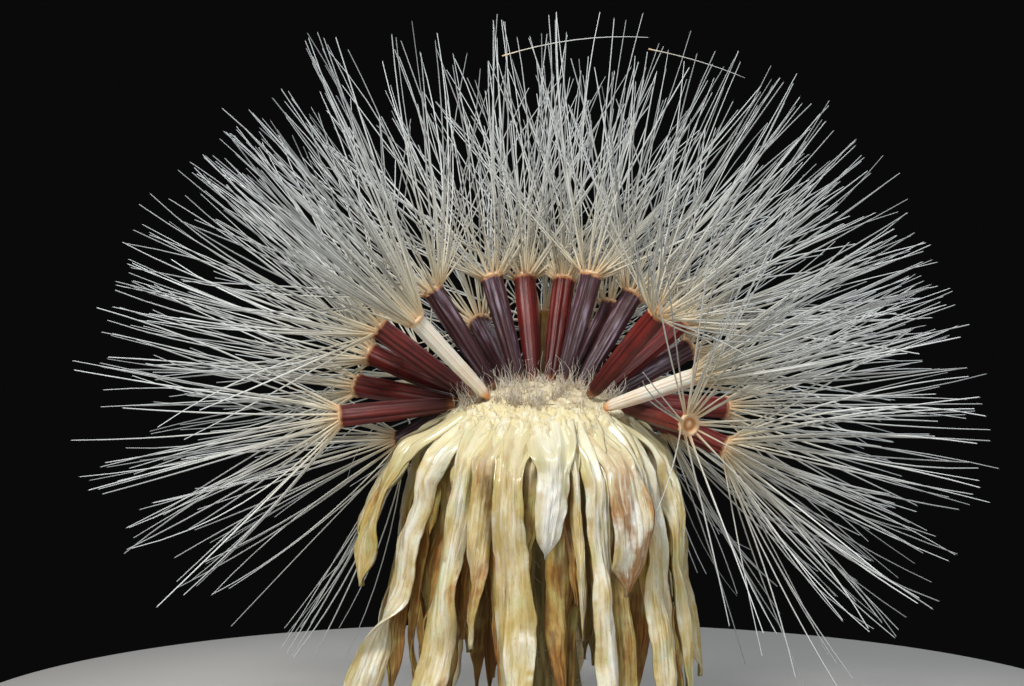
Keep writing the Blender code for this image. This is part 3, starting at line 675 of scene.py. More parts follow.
def achene_tree():
    """A ribbed spindle along +Z, with its foot at the origin."""
    sizes = ("Length", "Foot Radius", "Top Radius", "Rib Depth", "Wrinkle")
    net = Shaper("Ribbed Achene", sizes, ("Ribs",))
    length, foot, top, rib_depth, wrinkle, ribs, seed = net.given(*sizes, "Ribs", "Seed")
    cells = {"Vertices": ribs * 6.0, "Side_Segments": 34, "Fill_Segments": 3}
    settings = {"fill_type": "TRIANGLE_FAN"}
    bar = net.add("GeometryNodeMeshCylinder", settings, Radius=1.0, Depth=1.0, **cells)
    x, y, z = net.split(net.add("GeometryNodeInputPosition"))
    along = z + 0.5
    inward = (x * x + y * y).math("SQRT")
    spin = net.math("ARCTAN2", y, x)
    uneven = net.noise(net.joined(x * 1.3, y * 1.3, seed * 2.3), 1.0, 1.0)
    turn = spin + (uneven - 0.5) * 1.8
    rib = (turn * ribs * 0.5).math("COSINE").math("ABSOLUTE") ** 0.8
    for name, value in (("along", along), ("rib", rib), ("spin", spin * 0.16)):
        bar = net.stored(bar, name, value)
    body = foot + (top - foot) * along**0.6 + top * 0.06 * (along * math.pi).math("SINE")
    body = body * (0.66 + 0.34 * along.step(0.0, 0.07))
    flare = along.step(0.955, 1.0) * (0.05 + 0.16 * rib * uneven)
    body = body * (1.0 - 0.03 * along.step(0.88, 0.95) + flare)
    ribbing = rib_depth * along.step(0.0, 0.10) * (0.4 + 1.2 * uneven)
    body = body * (1.0 - ribbing * (1.0 - rib))
    grain = net.noise(net.joined(spin * 2.0, along * 46.0, seed * 3.1), 1.0, 2.0)
    wave = net.noise(net.joined(x * 0.8, y * 0.8, along * 3.0 + seed * 1.7), 1.0, 1.0)
    body = body + wrinkle * ((grain - 0.5) * rib + (wave - 0.5) * 1.6)
    dip = (1.0 - inward) * along.step(0.5, 1.0) * 0.06 * MM
    place = net.joined(x * body, y * body, along * length - dip)
    net.end(net.smoothed(net.add("GeometryNodeSetPosition", Geometry=bar, Position=place)))
    return net


def wool_tree():
    """Stands hairs on a surface, as densely as one of its attributes says."""
    sizes = ("Density", "Hair Length", "Thickness", "Curl", "Rise")
    net = Shaper("Wool", sizes, words=("Where",))
    density, length, thickness, curl, rise, where = net.given(*sizes, "Where")
    values = {"Mesh": net.given("Geometry"), "Density": density * net.named(where)}
    settings = {"distribute_method": "RANDOM"}
    seed = net.given("Seed")
    spots = net.add("GeometryNodeDistributePointsOnFaces", settings, Seed=seed, **values)
    bend = {"Start": (0, 0, -0.1), "Middle": (0.12, 0, 0.5), "End": (0, 0, 1)}
    line = net.add("GeometryNodeCurveQuadraticBezier", Resolution=5, **bend)
    way = net.vector("ADD", spots.out("Normal"), net.joined(0.0, 0.0, rise))
    size = length * net.random(0.0, 1.0, 3) ** 2.0 + length * 0.35
    grown = net.copies(spots, line, net.leaning(way, 0.0, 0.7, 1), size)
    grown = net.stored(grown, "tone", net.random(0.0, 1.0, 4), "INSTANCE")
    curves, along = net.curves(grown)
    place = net.scaled(net.add("GeometryNodeInputPosition"), 1 / MM)
    drift = net.vector("SUBTRACT", net.noise(place, 2.6, 2.0).out("Color"), (0.5, 0.5, 0.5))
    curves = net.moved(curves, net.scaled(drift, curl * along))
    net.end(net.tube(curves, 3, thickness * (1.0 - 0.7 * along)))
    return net


def shaped_mesh(name, base, net, values):
    """The plain mesh that a geometry-node tree makes from a base mesh."""
    piece = bpy.data.objects.new(name, base)
    bpy.context.scene.collection.objects.link(piece)
    modifier = piece.modifiers.new("shape", "NODES")
    modifier.node_group = net.tree
    for label, value in values.items():
        modifier[net.keys[label]] = value
    bpy.context.view_layer.update()
    graph = bpy.context.evaluated_depsgraph_get()
    mesh = bpy.data.meshes.new_from_object(piece.evaluated_get(graph))
    mesh.name = name
    bpy.data.objects.remove(piece, do_unlink=True)
    return mesh


def add_piece(name, mesh, material, slot, *nodes):
    """Shows a mesh as a piece on the body, in place of the solids of its nodes."""
    if not mesh.materials:
        mesh.materials.append(material)
    piece = bpy.data.objects.new(name, mesh)
    bpy.context.scene.collection.objects.link(piece)
    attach(piece, BODY)
    if nodes:
        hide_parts(*nodes)
    return piece


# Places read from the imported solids


def points_of(mesh):
    """The vertices of a mesh as rows of an array."""
    points = np.empty(len(mesh.vertices) * 3)
    mesh.vertices.foreach_get("co", points)
    return points.reshape(-1, 3)


def corner_points(node):
    """The different corners of a node's solid."""
    return np.unique(np.round(points_of(frame["nodes"][node].data), 7), axis=0)


def read_fruits():
    """The achenes, from the middles of their solids' end rings: the foot is the narrower."""
    slots = {part["node"]: part.get("material_slot") for part in frame["record"]["subparts"]}
    fruits = []
    for node in sorted(name for name in frame["nodes"] if name.startswith("achene_")):
        points = corner_points(node)
        offsets = points - points.mean(0)
        along = offsets @ np.linalg.svd(offsets)[2][0]
        ends = [points[along < along.min() + END_DEPTH], points[along > along.max() - END_DEPTH]]
        ends.sort(key=lambda ring: np.linalg.norm(ring - ring.mean(0), axis=1).mean())
        foot, top = ends[0].mean(0), ends[1].mean(0)
        length = np.linalg.norm(top - foot)
        number = node[-2:]
        bristles = corner_points("pappus_" + number)
        tips = bristles[np.linalg.norm(bristles - top, axis=1) > TIP_DISTANCE]
        fruits.append(Fruit(number, slots[node], foot, (top - foot) / length, length, tips))
    return fruits


def read_axis():
    """Plan place of the receptacle's axis, from the cut foot of the bowed stalk."""
    points = corner_points("receptacle_and_stalk")
    foot = points[points[:, 2] < 1e-5]
    ring = foot[np.linalg.norm(foot - foot.mean(0), axis=1) > STALK_RADIUS / 2]
    return Vector((ring[:, 0].mean() - STALK_BOW, ring[:, 1].mean(), 0))


def heading(bearing):
    """The level direction of a bearing."""
    return Vector((math.cos(bearing), math.sin(bearing), 0))


def upright_on(foot, axis):
    """The transform that stands +Z along an axis, on a foot."""
    turn = Vector(axis).to_track_quat("Z", "Y").to_matrix().to_4x4()
    return Matrix.Translation(Vector(foot)) @ turn


# Turned surfaces and attributes


def store(mesh, name, values):
    """Keeps a number for each vertex of a mesh."""
    layer = mesh.attributes.new(name, "FLOAT", "POINT")
    layer.data.foreach_set("value", np.asarray(values, dtype=np.float32))


def turned(rings, sides, corner):
    """Corners and faces of a closed turned surface from pole to pole. The corner function
    gives a point from the values of its ring and its turn."""
    corners, faces, loops = [], [], []
    for number, ring in enumerate(rings):
        count = 1 if number in (0, len(rings) - 1) else sides
        loops.append([len(corners) + step % count for step in range(sides + 1)])
        corners += [corner(*ring, math.tau * step / sides) for step in range(count)]
    for lower, upper in zip(loops[:-1], loops[1:]):
        for step in range(sides):
            face = (lower[step], lower[step + 1], upper[step + 1], upper[step])
            faces.append(tuple(dict.fromkeys(face)))
    return corners, faces


def finished_mesh(bm, name):
    """A new mesh from a closed bmesh, with its faces turned outward."""
    bmesh.ops.recalc_face_normals(bm, faces=bm.faces[:])
    mesh = bpy.data.meshes.new(name)
    bm.to_mesh(mesh)
    bm.free()
    return mesh


def lathe(name, rings, sides, corner):
    """A smooth mesh of a turned surface."""
    corners, faces = turned(rings, sides, corner)
    bm = bmesh.new()
    verts = [bm.verts.new(spot) for spot in corners]
    for face in faces:
        bm.faces.new([verts[number] for number in face])
    mesh = finished_mesh(bm, name)
    mesh.shade_smooth()
    return mesh


# Bristle fans


def line_points(start, ends):
    """Points along straight lines from one start, past the first tenth of each."""
    shares = np.linspace(0.1, 1.0, 14)
    return start + shares[None, :, None] * (ends - start)[:, None]


def in_the_way(points, fruit, fruits, axis):
    """Whether lines, given as points, run into another achene, the skirt or the floor."""
    plan = np.linalg.norm(points[..., :2] - np.array(axis.to_2d()), axis=-1)
    height = points[..., 2]
    skirt = np.interp(height, SKIRT_HEIGHTS, SKIRT_RADII, right=0)
    blocked = (plan < skirt) | (height < FLOOR_CLEARANCE)
    for other in fruits:
        if other.number != fruit.number:
            share = np.clip((points - other.foot) @ other.axis, 0, other.length + 0.2 * MM)
            nearest = other.foot + share[..., None] * other.axis
            blocked |= np.linalg.norm(points - nearest, axis=-1) < ACHENE_CLEARANCE
    return blocked.any(axis=1)


def fan_tips(fruit, fruits, axis, sizes, draw):
    """Tips of a fruit's bristles: the leaning ones of its solid, and wider ones."""
    collar = fruit.foot + fruit.axis * (fruit.length + 0.1 * MM)
    lean = (fruit.tips - collar) / np.linalg.norm(fruit.tips - collar, axis=1, keepdims=True)
    off = np.degrees(np.arccos(np.clip(lean @ fruit.axis, -1, 1)))
    hollow = 5 + 23 * max(0, fruit.axis[2]) ** 1.5
    usual = (hollow, sizes.spread * draw.uniform(0.86, 1.04))
    narrow, wide = FAN_ANGLES.get(fruit.number, usual)
    # Fans that lean half over hold most bristles, and upright ones few and short ones
    upright = max(0, fruit.axis[2]) ** 4
    count = sizes.count * (0.46 + 0.76 * math.sin(2 * math.acos(abs(fruit.axis[2]))))
    count *= 1 - 0.38 * upright
    longest = 1.03 - 0.09 * upright
    # Few of the solid's bristles along the fruit's own axis are kept, so the fan is hollow
    kept = (off > narrow) | ((narrow < 40) & (draw.uniform(size=len(off)) < 0.12))
    lost = Vector(LOST_SIDES.get(fruit.number, (0, 0, 0)))
    kept &= lean @ np.array(lost) < 0.25
    tips = list(fruit.tips[kept])
    turn = upright_on((0, 0, 0), fruit.axis).to_3x3()
    while len(tips) < count:
        angle = math.radians(narrow + (wide - narrow) * draw.uniform() ** 0.7)
        level = heading(draw.uniform(0, math.tau)) * math.sin(angle)
        way = np.array(turn @ (level + Vector((0, 0, math.cos(angle)))))
        tip = collar + way * sizes.length * draw.uniform(0.84, longest)
        line = line_points(collar, tip[None])
        if lost.dot(way) < 0.12 and not in_the_way(line, fruit, fruits, axis)[0]:
            tips.append(tip)
    tips = np.array(tips)
    # Some tips cling to their nearest neighbour's
    for number in np.flatnonzero(draw.uniform(size=len(tips)) < sizes.clinging):
        gaps = np.linalg.norm(tips - tips[number], axis=1)
        gaps[number] = np.inf
        tips[number] += (tips[gaps.argmin()] - tips[number]) * draw.uniform(0.5, 0.95)
    if fruit.number in BUNDLES:
        middle, scatter, members = BUNDLES[fruit.number]
        scattered = draw.normal(0, scatter * MM, (members, 3))
        tips = np.vstack([tips, np.array(middle) * MM + scattered])
    return tips


def fan_bows(fruit, ways, sizes, draw):
    """How far the middle of each bristle stands off its straight line."""
    length = np.linalg.norm(ways, axis=1, keepdims=True)
    outward = ways - (ways @ fruit.axis)[:, None] * fruit.axis
    outward /= np.linalg.norm(outward, axis=1, keepdims=True)
    sway = draw.normal(0, 1, ways.shape)
    sway -= (sway * ways).sum(1, keepdims=True) / length**2 * ways
    opening = sizes.flare * draw.uniform(-0.2, 1.7, (len(ways), 1))
    bend = sizes.bend * (0.4 if fruit.number in FAN_ANGLES else 1)
    return length * (outward * opening + sway * bend)


def collar_mesh(fruit):
    """Low fluted cup that the bristles stand round, as corners, faces and how brown it is."""
    low = fruit.foot + fruit.axis * (fruit.length + 0.005 * MM)
    place = upright_on(low, fruit.axis)

    def corner(radius, rise, fluting, brown, turn):
        flute = 1 + 0.05 * fluting * math.cos(COLLAR_FLUTES * turn)
        return place @ ((heading(turn) * radius * flute + Vector((0, 0, rise))) * MM)

    hubs = [ring[-1] for ring in COLLAR_RINGS for _ in range(COLLAR_SIDES if ring[0] else 1)]
    return *turned(COLLAR_RINGS, COLLAR_SIDES, corner), hubs


def fan_roots(fruit, tips, draw):
    """A root for each tip, round the rim of the collar and on its side towards the tip."""
    collar = fruit.foot + fruit.axis * (fruit.length + 0.04 * MM)
    across = tips - collar
    across = across - (across @ fruit.axis)[:, None] * fruit.axis
    away = np.linalg.norm(across, axis=1, keepdims=True)
    rim = 0.23 + 0.08 * np.clip(away / away.max(), 0, 1) + draw.uniform(-0.02, 0.02, away.shape)
    return collar + across / away * rim * MM


def fan_base(collar, roots, ways, bows):
    """A collar's mesh with loose points that hold how each bristle goes."""
    corners, faces, hubs = collar
    mesh = bpy.data.meshes.new("fan_base")
    mesh.from_pydata([*corners, *roots], [], faces)
    for attribute, values in (("reach", ways), ("bow", bows)):
        values = np.vstack([np.zeros((len(corners), 3)), values])
        layer = mesh.attributes.new(attribute, "FLOAT_VECTOR", "POINT")
        layer.data.foreach_set("vector", values.astype(np.float32).ravel())
    store(mesh, "hub", hubs + [0.0] * len(roots))
    mesh.shade_smooth()
    return mesh


# Settings, with lengths given in millimetres


def length_setting(name, default, description):
    return FloatProperty(
        name=name, description=description, default=default * MM, unit="LENGTH"
    )


def colour_setting(name, default, description):
    return FloatVectorProperty(
        name=name, description=description, default=default, subtype="COLOR"
    )


class BristleSizes(bpy.types.PropertyGroup):
    count: IntProperty(name="Bristles", description="Bristles of each fruit", default=54, min=8)
    spread: FloatProperty(name="Spread", description="Widest angle, in degrees", default=68)
    clinging: FloatProperty(name="Clinging", description="Share of tips that meet", default=0.38)
    length: length_setting("Length", 7.15, "Length of a bristle")
    thickness: length_setting("Thickness", 0.0240, "Radius of a bristle")
    bend: FloatProperty(name="Bend", description="How far a bristle bows", default=0.021)
    flare: FloatProperty(name="Flare", description="How far a fan opens early", default=0.03)
    segments: IntProperty(name="Segments", description="Rings of a bristle", default=9)
    barbs: IntProperty(name="Barbs", description="Barbs of each bristle", default=12)
    barb_length: length_setting("Barb Length", 0.08, "Length of a barb")
    bristle_colour: colour_setting("Bristle Colour", (0.91, 0.93, 0.90), "Outer colour")
    collar_colour: colour_setting("Collar Colour", (0.80, 0.55, 0.32), "Colour of the cup")


class HAWKWEED_OT_bristle_fans(bpy.types.Operator):
    """Add a collar and a fan of barbed bristles to each fruit"""

    bl_idname = "hawkweed.bristle_fans"
    bl_label = "Add Bristle Fans"

    def execute(self, context):
        sizes = context.scene.hawkweed_bristles
        net, material = fan_tree(), bristle_finish(sizes)
        fruits, axis = read_fruits(), read_axis()
        values = {
            "Thickness": sizes.thickness,
            "Segments": sizes.segments,
            "Barbs": sizes.barbs,
            "Barb Length": sizes.barb_length,
            "Material": material,
        }
        for fruit in fruits:
            draw = np.random.default_rng(int(fruit.number))
            tips = fan_tips(fruit, fruits, axis, sizes, draw)
            roots = fan_roots(fruit, tips, draw)
            bows = fan_bows(fruit, tips - roots, sizes, draw)
            base = fan_base(collar_mesh(fruit), roots, tips - roots, bows)
            name = "bristle_fan_" + fruit.number
            mesh = shaped_mesh(name, base, net, values | {"Seed": int(fruit.number)})
            add_piece(name, mesh, material, "pappus", "pappus_" + fruit.number)
        roots, ends, bows = np.array(LOOSE_BRISTLES).transpose(1, 0, 2) * MM
        base = fan_base(([], [], []), roots + np.array(axis), ends - roots, bows)
        values |= {"Seed": 90, "Thickness": sizes.thickness / 2}
        mesh = shaped_mesh("loose_bristles", base, net, values)
        add_piece("loose_bristles", mesh, material, "pappus")
        return {"FINISHED"}


# Achenes


class AcheneSizes(bpy.types.PropertyGroup):
    ribs: IntProperty(name="Ribs", description="Ribs of each achene", default=10, min=3)
    rib_depth: FloatProperty(name="Rib Depth", description="Share of the radius", default=0.18)
    foot_radius: length_setting("Foot Radius", 0.17, "Radius at the foot")
    top_radius: length_setting("Top Radius", 0.315, "Radius at the top")
    pale_width: FloatProperty(
        name="Pale Width", description="Width of the unripe achenes in relation", default=0.78
    )
    wrinkle: length_setting("Wrinkle", 0.022, "Depth of the wrinkles")


# Colours of the furrows (also used for the painted shade towards the foot), the ribs and the
# painted sheen of each ripe kind, how much painted sheen it has, the colour of its foot, and its
# roughness
ACHENE_COLOURS = {
    "achene_red": (
        (0.045, 0.004, 0.004), (0.260, 0.020, 0.013), (0.44, 0.20, 0.19), 0.20, (0.40, 0.16, 0.06), 0.40,
    ),
    "achene_purple": (
        (0.030, 0.007, 0.010), (0.095, 0.024, 0.034), (0.50, 0.41, 0.52), 0.85, (0.30, 0.15, 0.09), 0.36,
    ),
    "achene_ochre": (
        (0.20, 0.085, 0.015), (0.66, 0.36, 0.09), (0.80, 0.58, 0.28), 0.45, (0.60, 0.34, 0.10), 0.45,
    ),
}


class HAWKWEED_OT_achenes(bpy.types.Operator):
    """Add the ribbed achenes"""

    bl_idname = "hawkweed.achenes"
    bl_label = "Add Achenes"

    def execute(self, context):
        sizes = context.scene.hawkweed_achenes
        net = achene_tree()
        finishes = {name: achene_finish(name, *row) for name, row in ACHENE_COLOURS.items()}
        finishes["achene_pale"] = pale_achene_finish("achene_pale")
        for fruit in read_fruits():
            width = sizes.pale_width if fruit.slot == "achene_pale" else 1.0
            values = {
                "Length": fruit.length,
                "Foot Radius": sizes.foot_radius * width,
                "Top Radius": sizes.top_radius * width,
                "Ribs": sizes.ribs,
                "Rib Depth": sizes.rib_depth,
                "Wrinkle": sizes.wrinkle,
                "Seed": int(fruit.number),
                "Material": finishes[fruit.slot],
            }
            name = "ribbed_achene_" + fruit.number
            mesh = shaped_mesh(name, bpy.data.meshes.new("achene_base"), net, values)
            mesh.transform(upright_on(fruit.foot, fruit.axis))
            add_piece(name, mesh, finishes[fruit.slot], fruit.slot, "achene_" + fruit.number)
        return {"FINISHED"}


# Receptacle and stalk


class ReceptacleSizes(bpy.types.PropertyGroup):
    pits: IntProperty(name="Pits", description="Pits that achenes stood in", default=96)
    pit_depth: length_setting("Pit Depth", 0.12, "Depth of a pit")
    wool_density: FloatProperty(
        name="Wool Density", description="Short hairs on a square metre", default=2.2e8
    )
    wool_length: length_setting("Wool Length", 0.42, "Length of a long hair")
    stalk_hairs: FloatProperty(
        name="Stalk Hairs", description="Hairs on a square metre of stalk", default=7e6
    )


def smooth(value, low, high):
    share = min(1, max(0, (value - low) / (high - low)))
    return share * share * (3 - 2 * share)


def pit_places(count):
    """Places of the pits in plan, spread evenly by the golden turn."""
    steps = np.arange(count) + 0.5
    radius = DOME_RADIUS * 0.96 * np.sqrt(steps / count)
    turn = steps * GOLDEN_TURN
    return np.stack([radius * np.cos(turn), radius * np.sin(turn)], axis=1)


def receptacle_mesh(sizes, axis):
    """Dome with pits between raised, ragged borders, over a pleated flank."""
    radii = 0.70 * DOME_RADIUS * np.linspace(0, 1, 40)
    outline = [(radius, DOME_TOP - DOME_RISE * (radius / DOME_RADIUS) ** 2) for radius in radii]
    flank = np.array(FLANK_OUTLINE) * MM
    walked = np.append(0, np.cumsum(np.linalg.norm(np.diff(flank, axis=0), axis=1)))
    steps = np.linspace(0, walked[-1], 78)
    outline += list(zip(*(np.interp(steps, walked, flank[:, side]) for side in (0, 1))))
    places = pit_places(sizes.pits)

    def corner(radius, height, turn):
        way = heading(turn)
        spot = way * radius
        level = Vector((spot.x, spot.y, height))
        one, two = np.partition(np.linalg.norm(places - np.array(level.to_2d()), axis=1), 1)[:2]
        ragged = noise.fractal(level * 4200, 0.6, 2.0, 3)
        # The dome is raised between its pits, and the flank is pleated and tattered
        if height > FLANK_OUTLINE[0][1] * MM:
            border = 1 - min(1, (two - one) / (0.12 * MM))
            sunk = max(0, 1 - one / (0.15 * MM))
            rise = border * (0.7 + 0.6 * ragged) * 0.45 - 0.6 * sunk
            level.z += sizes.pit_depth * rise + 0.02 * MM * ragged
        elif height > 7.0 * MM:
            tatter = noise.fractal(Vector((way.x * 13, way.y * 13, height / MM * 1.3)), 0.7, 2.0, 4)
            ridge = abs(noise.noise(Vector((way.x * 9, way.y * 9, height / MM * 0.5 + 4))))
            level += way * (0.11 * tatter + 0.05 * ragged - 0.20 * ridge) * MM
            level.z += (0.10 * ragged + 0.06 * tatter) * smooth(radius / MM, 1.7, 2.1) * MM
        return axis + level

    mesh = lathe("receptacle", outline, DOME_SIDES, corner)
    # What the colours and the wool go by
    points = points_of(mesh)
    plan = points[:, :2] - np.array(axis.to_2d())
    height = points[:, 2] / MM
    gaps = np.linalg.norm(plan[:, None] - places[None], axis=2).min(1)
    radius = np.linalg.norm(plan, axis=1) / MM
    on_dome = np.clip((1.95 - radius) / 0.45, 0, 1) * (height > 8.5)
    rim = np.clip((2.4 - radius) / 0.5, 0, 1) * (height > 8.5)
    tuft = np.array([noise.noise(Vector(point) * 2200) for point in points])
    tuft = np.clip(0.50 + 2.6 * tuft, 0.0, 1.6)
    low = np.clip((height - 8.55) / 0.35, 0, 1)
    store(mesh, "pit", np.clip(1 - gaps / (0.17 * MM), 0, 1) * on_dome)
    store(mesh, "flank", 1 - on_dome)
    store(mesh, "short", rim * (0.18 + 0.82 * on_dome) * tuft)
    store(mesh, "long", rim * np.clip((radius - 0.9) / 0.8, 0.25, 1) * tuft**2)
    store(mesh, "fibre", np.clip((radius - 0.5) / 1.2, 0, 1) * low)
    return mesh


def stalk_mesh(axis):
    """Bowed, furrowed stalk, cut level at its foot and wider under the receptacle."""

    def corner(radius, height, turn):
        way = heading(turn)
        shift = STALK_BOW * max(0, 1 - height / STALK_BOW_TOP) ** 1.5
        ridge = 0.05 * math.cos(9 * turn) + 0.03 * math.cos(14 * turn + height / MM)
        ridge += 0.05 * noise.noise(Vector((way.x * 2, way.y * 2, height / MM * 0.7)))
        spot = way * radius * (0.96 + ridge)
        return axis + Vector((spot.x + shift, spot.y, height))

    levels = np.linspace(6.9, 0.0, 60)
    rings = [(0, 6.9 * MM)]
    rings += [(STALK_RADIUS * (1 + 0.35 * max(0, (z - 6.0) / 0.9)), z * MM) for z in levels]
    rings += [(STALK_RADIUS * 0.55, 0.0), (0, 0.0)]
    mesh = lathe("stalk", rings, STALK_SIDES, corner)
    store(mesh, "wool", np.clip(points_of(mesh)[:, 2] / MM / 0.4, 0, 1))
    return mesh


class HAWKWEED_OT_receptacle(bpy.types.Operator):
    """Add the receptacle with its wool and the cut stalk"""

    bl_idname = "hawkweed.receptacle"
    bl_label = "Add Receptacle and Stalk"

    def execute(self, context):
        sizes = context.scene.hawkweed_receptacle
        axis = read_axis()
        net = wool_tree()
        wool = wool_finish("receptacle_wool", (0.50, 0.39, 0.24), (0.87, 0.83, 0.74))
        dome, stalk = receptacle_mesh(sizes, axis), stalk_mesh(axis)
        fibre = wool_finish("rim_fibre", (0.80, 0.72, 0.42), (0.95, 0.92, 0.74))

        def grow(name, base, where, density, length, thickness, curl, rise, seed, finish):
            values = {
                "Where": where,
                "Density": density,
                "Hair Length": length,
                "Thickness": thickness * MM,
                "Curl": curl * MM,
                "Rise": rise,
                "Seed": seed,
                "Material": finish,
            }
            mesh = shaped_mesh(name, base.copy(), net, values)
            add_piece(name, mesh, finish, "receptacle")

        density, length = sizes.wool_density, sizes.wool_length
        grow("short_wool", dome, "short", 0.45 * density, 0.60 * length, 0.014, 0.50, 0.3, 3, wool)
        grow("long_wool", dome, "long", 0.45 * density, 1.65 * length, 0.011, 0.80, 0.9, 8, wool)
        grow("rim_fibres", dome, "fibre", 0.34 * density, length, 0.010, 0.25, -1.5, 6, fibre)
        flesh = receptacle_finish()
        add_piece("pitted_receptacle", dome, flesh, "receptacle", "receptacle_and_stalk")
        grow("stalk_hairs", stalk, "wool", sizes.stalk_hairs, 0.45 * MM, 0.012, 0.5, 0.5, 5, wool)
        add_piece("cut_stalk", stalk, stalk_finish(), "receptacle")
        return {"FINISHED"}


# Bracts


class BractSizes(bpy.types.PropertyGroup):
    thickness: length_setting("Thickness", 0.11, "Thickness of a blade")
    vein_depth: length_setting("Vein Depth", 0.020, "Relief of the veins")
    crumple: length_setting("Crumple", 0.10, "How far a blade is crumpled")
    straw_colour: colour_setting("Straw Colour", (0.62, 0.49, 0.19), "Colour of most blades")
    cream_colour: colour_setting("Cream Colour", (0.81, 0.71, 0.45), "Colour of paler folds")


def strap_bearing(blade, share):
    return math.radians(blade.root + blade.turn * share**STRAP_TURN_POWER)


def strap_path(whorl, blade, share):
    """A point on the middle of a strap, from its root at 0 to its tip at 1."""
    turned_down = 1 - math.exp(-share / STRAP_CREST)
    start = whorl.radius + whorl.shoulder
    middle, tip = blade.middle * MM - start, blade.tip * MM - start
    radius = whorl.radius + whorl.shoulder * turned_down
    radius += middle * share * (1 - share) / (STRAP_MIDDLE * (1 - STRAP_MIDDLE))
    radius += tip * share * (share - STRAP_MIDDLE) / (1 - STRAP_MIDDLE)
    reach = share / STRAP_BULGE_PLACE
    radius += whorl.bulge * reach * math.exp(1 - reach)
    drop = (whorl.height - blade.lift * MM) / (1 - STRAP_CREST)
    height = whorl.height - drop * max(0, share - STRAP_CREST * turned_down)
    bearing = strap_bearing(blade, share)
    return Vector((radius * math.cos(bearing), radius * math.sin(bearing), height))


def blade_sides(whorl, blade, number, length, sizes, axis):
    """Front and back of a thin, rolled and crumpled blade along its strap's path: rows of
    points, each with its place across and along the blade."""
    seed = Vector((number * 3.7, whorl.height / MM * 5, 1.3))

    def wave(share, rate, offset):
        return noise.noise(Vector((share * length * rate, offset, 0)) + seed)

    def centre(share):
        spot = strap_path(whorl, blade, share)
        outward = heading(strap_bearing(blade, share))
        # The root is tucked in and up, under the dome's edge
        buried = math.exp(-share / 0.03)
        spot += Vector((0, 0, 0.60 * MM * buried)) - outward * 0.26 * MM * buried
        # Further down the blade sways sideways and outward
        free = min(1, share * 3)
        sideways = heading(strap_bearing(blade, share) + math.pi / 2)
        spot += sideways * wave(share, 0.45, 3) * free * 0.09 * MM
        return spot + outward * wave(share, 0.6, 6) * free * 0.16 * MM

    fronts, backs = [], []
    for row in range(BLADE_ROWS):
        share = (row / (BLADE_ROWS - 1)) ** 1.3
        middle = centre(share)
        along = (centre(min(1, share + 0.012)) - centre(max(0, share - 0.012))).normalized()
        side = heading(strap_bearing(blade, share) + math.pi / 2)
        side = (side - along * side.dot(along)).normalized()
        twist = blade.twist * smooth(share, blade.place - 0.13, blade.place + 0.13)
        twist += 26 * wave(share, 0.55, 5) * min(1, share * 4)
        side = Matrix.Rotation(math.radians(twist), 3, along) @ side
        outward = along.cross(side)
        # Width, down to a narrow tip, and how far it is rolled and folded here
        places = (0, 0.15, 0.70, max(1.6, 0.45 * length), 0.9 * length)
        width = np.interp(share * length, places, (whorl.root_width,) * 2 + blade.widths)
        width *= 1 + 0.13 * wave(share, 0.8, 9)
        width *= max(0.12, 1 - smooth(share, 0.76, 1.01) ** 1.4)
        half_width = width * MM / 2
        roll = np.interp(share, (0, 0.06, 0.17, 0.5), (12, 12) + blade.rolls)
        roll += 34 * wave(share, 0.7, 2) * min(1, share * 5)
        roll = math.radians(roll if abs(roll) > 1 else 1)
        lean = 0.5 * wave(share, 0.5, 12)
        fold = (0.34 + 0.9 * wave(share, 0.5, 40)) * smooth(share, 0.06, 0.2)
        ridge = 0.25 * math.sin(number * 2.4) + 0.7 * wave(share, 0.4, 44)
        side_fold = 0.8 * wave(share, 0.7, 50) * smooth(share, 0.06, 0.2)
        pleats = 0.07 * MM * (1 - smooth(share, 0.10, 0.25))
        front, back = [], []
        for column in range(BLADE_COLUMNS):
            across = -1 + 2 * column / (BLADE_COLUMNS - 1)
            edge = abs(across)
            # Across it: rolled, then leant, crumpled, folded, pleated and veined
            reach = half_width * math.sin(across * roll) / roll
            depth = half_width * (math.cos(across * roll) - math.cos(roll)) / roll
            depth += lean * half_width * across * edge
            spot = Vector((across * 0.8, share * length * 0.75, 0)) + seed
            crumple = noise.fractal(spot, 0.7, 2.1, 3)
            depth += sizes.crumple * crumple * min(1, share * 5 + 0.3)
            depth -= half_width * fold * abs(across - ridge)
            depth += half_width * side_fold * max(0, edge - 0.62)
            depth += pleats * (math.cos(across * 9 + number) + 1.6 * crumple)
            depth += sizes.vein_depth * math.cos(across * 21 + number)
            reach *= 1 + 0.07 * edge * wave(share, 4, 14 + across)
            spot = axis + middle + side * reach + outward * depth
            thin = outward * sizes.thickness / 2 * (1.2 - 0.75 * edge**2) * (1 - 0.3 * share)
            front.append((spot + thin, across, share))
            back.append((spot - thin, across, share))
        fronts.append(front)
        backs.append(back)
    return fronts, backs


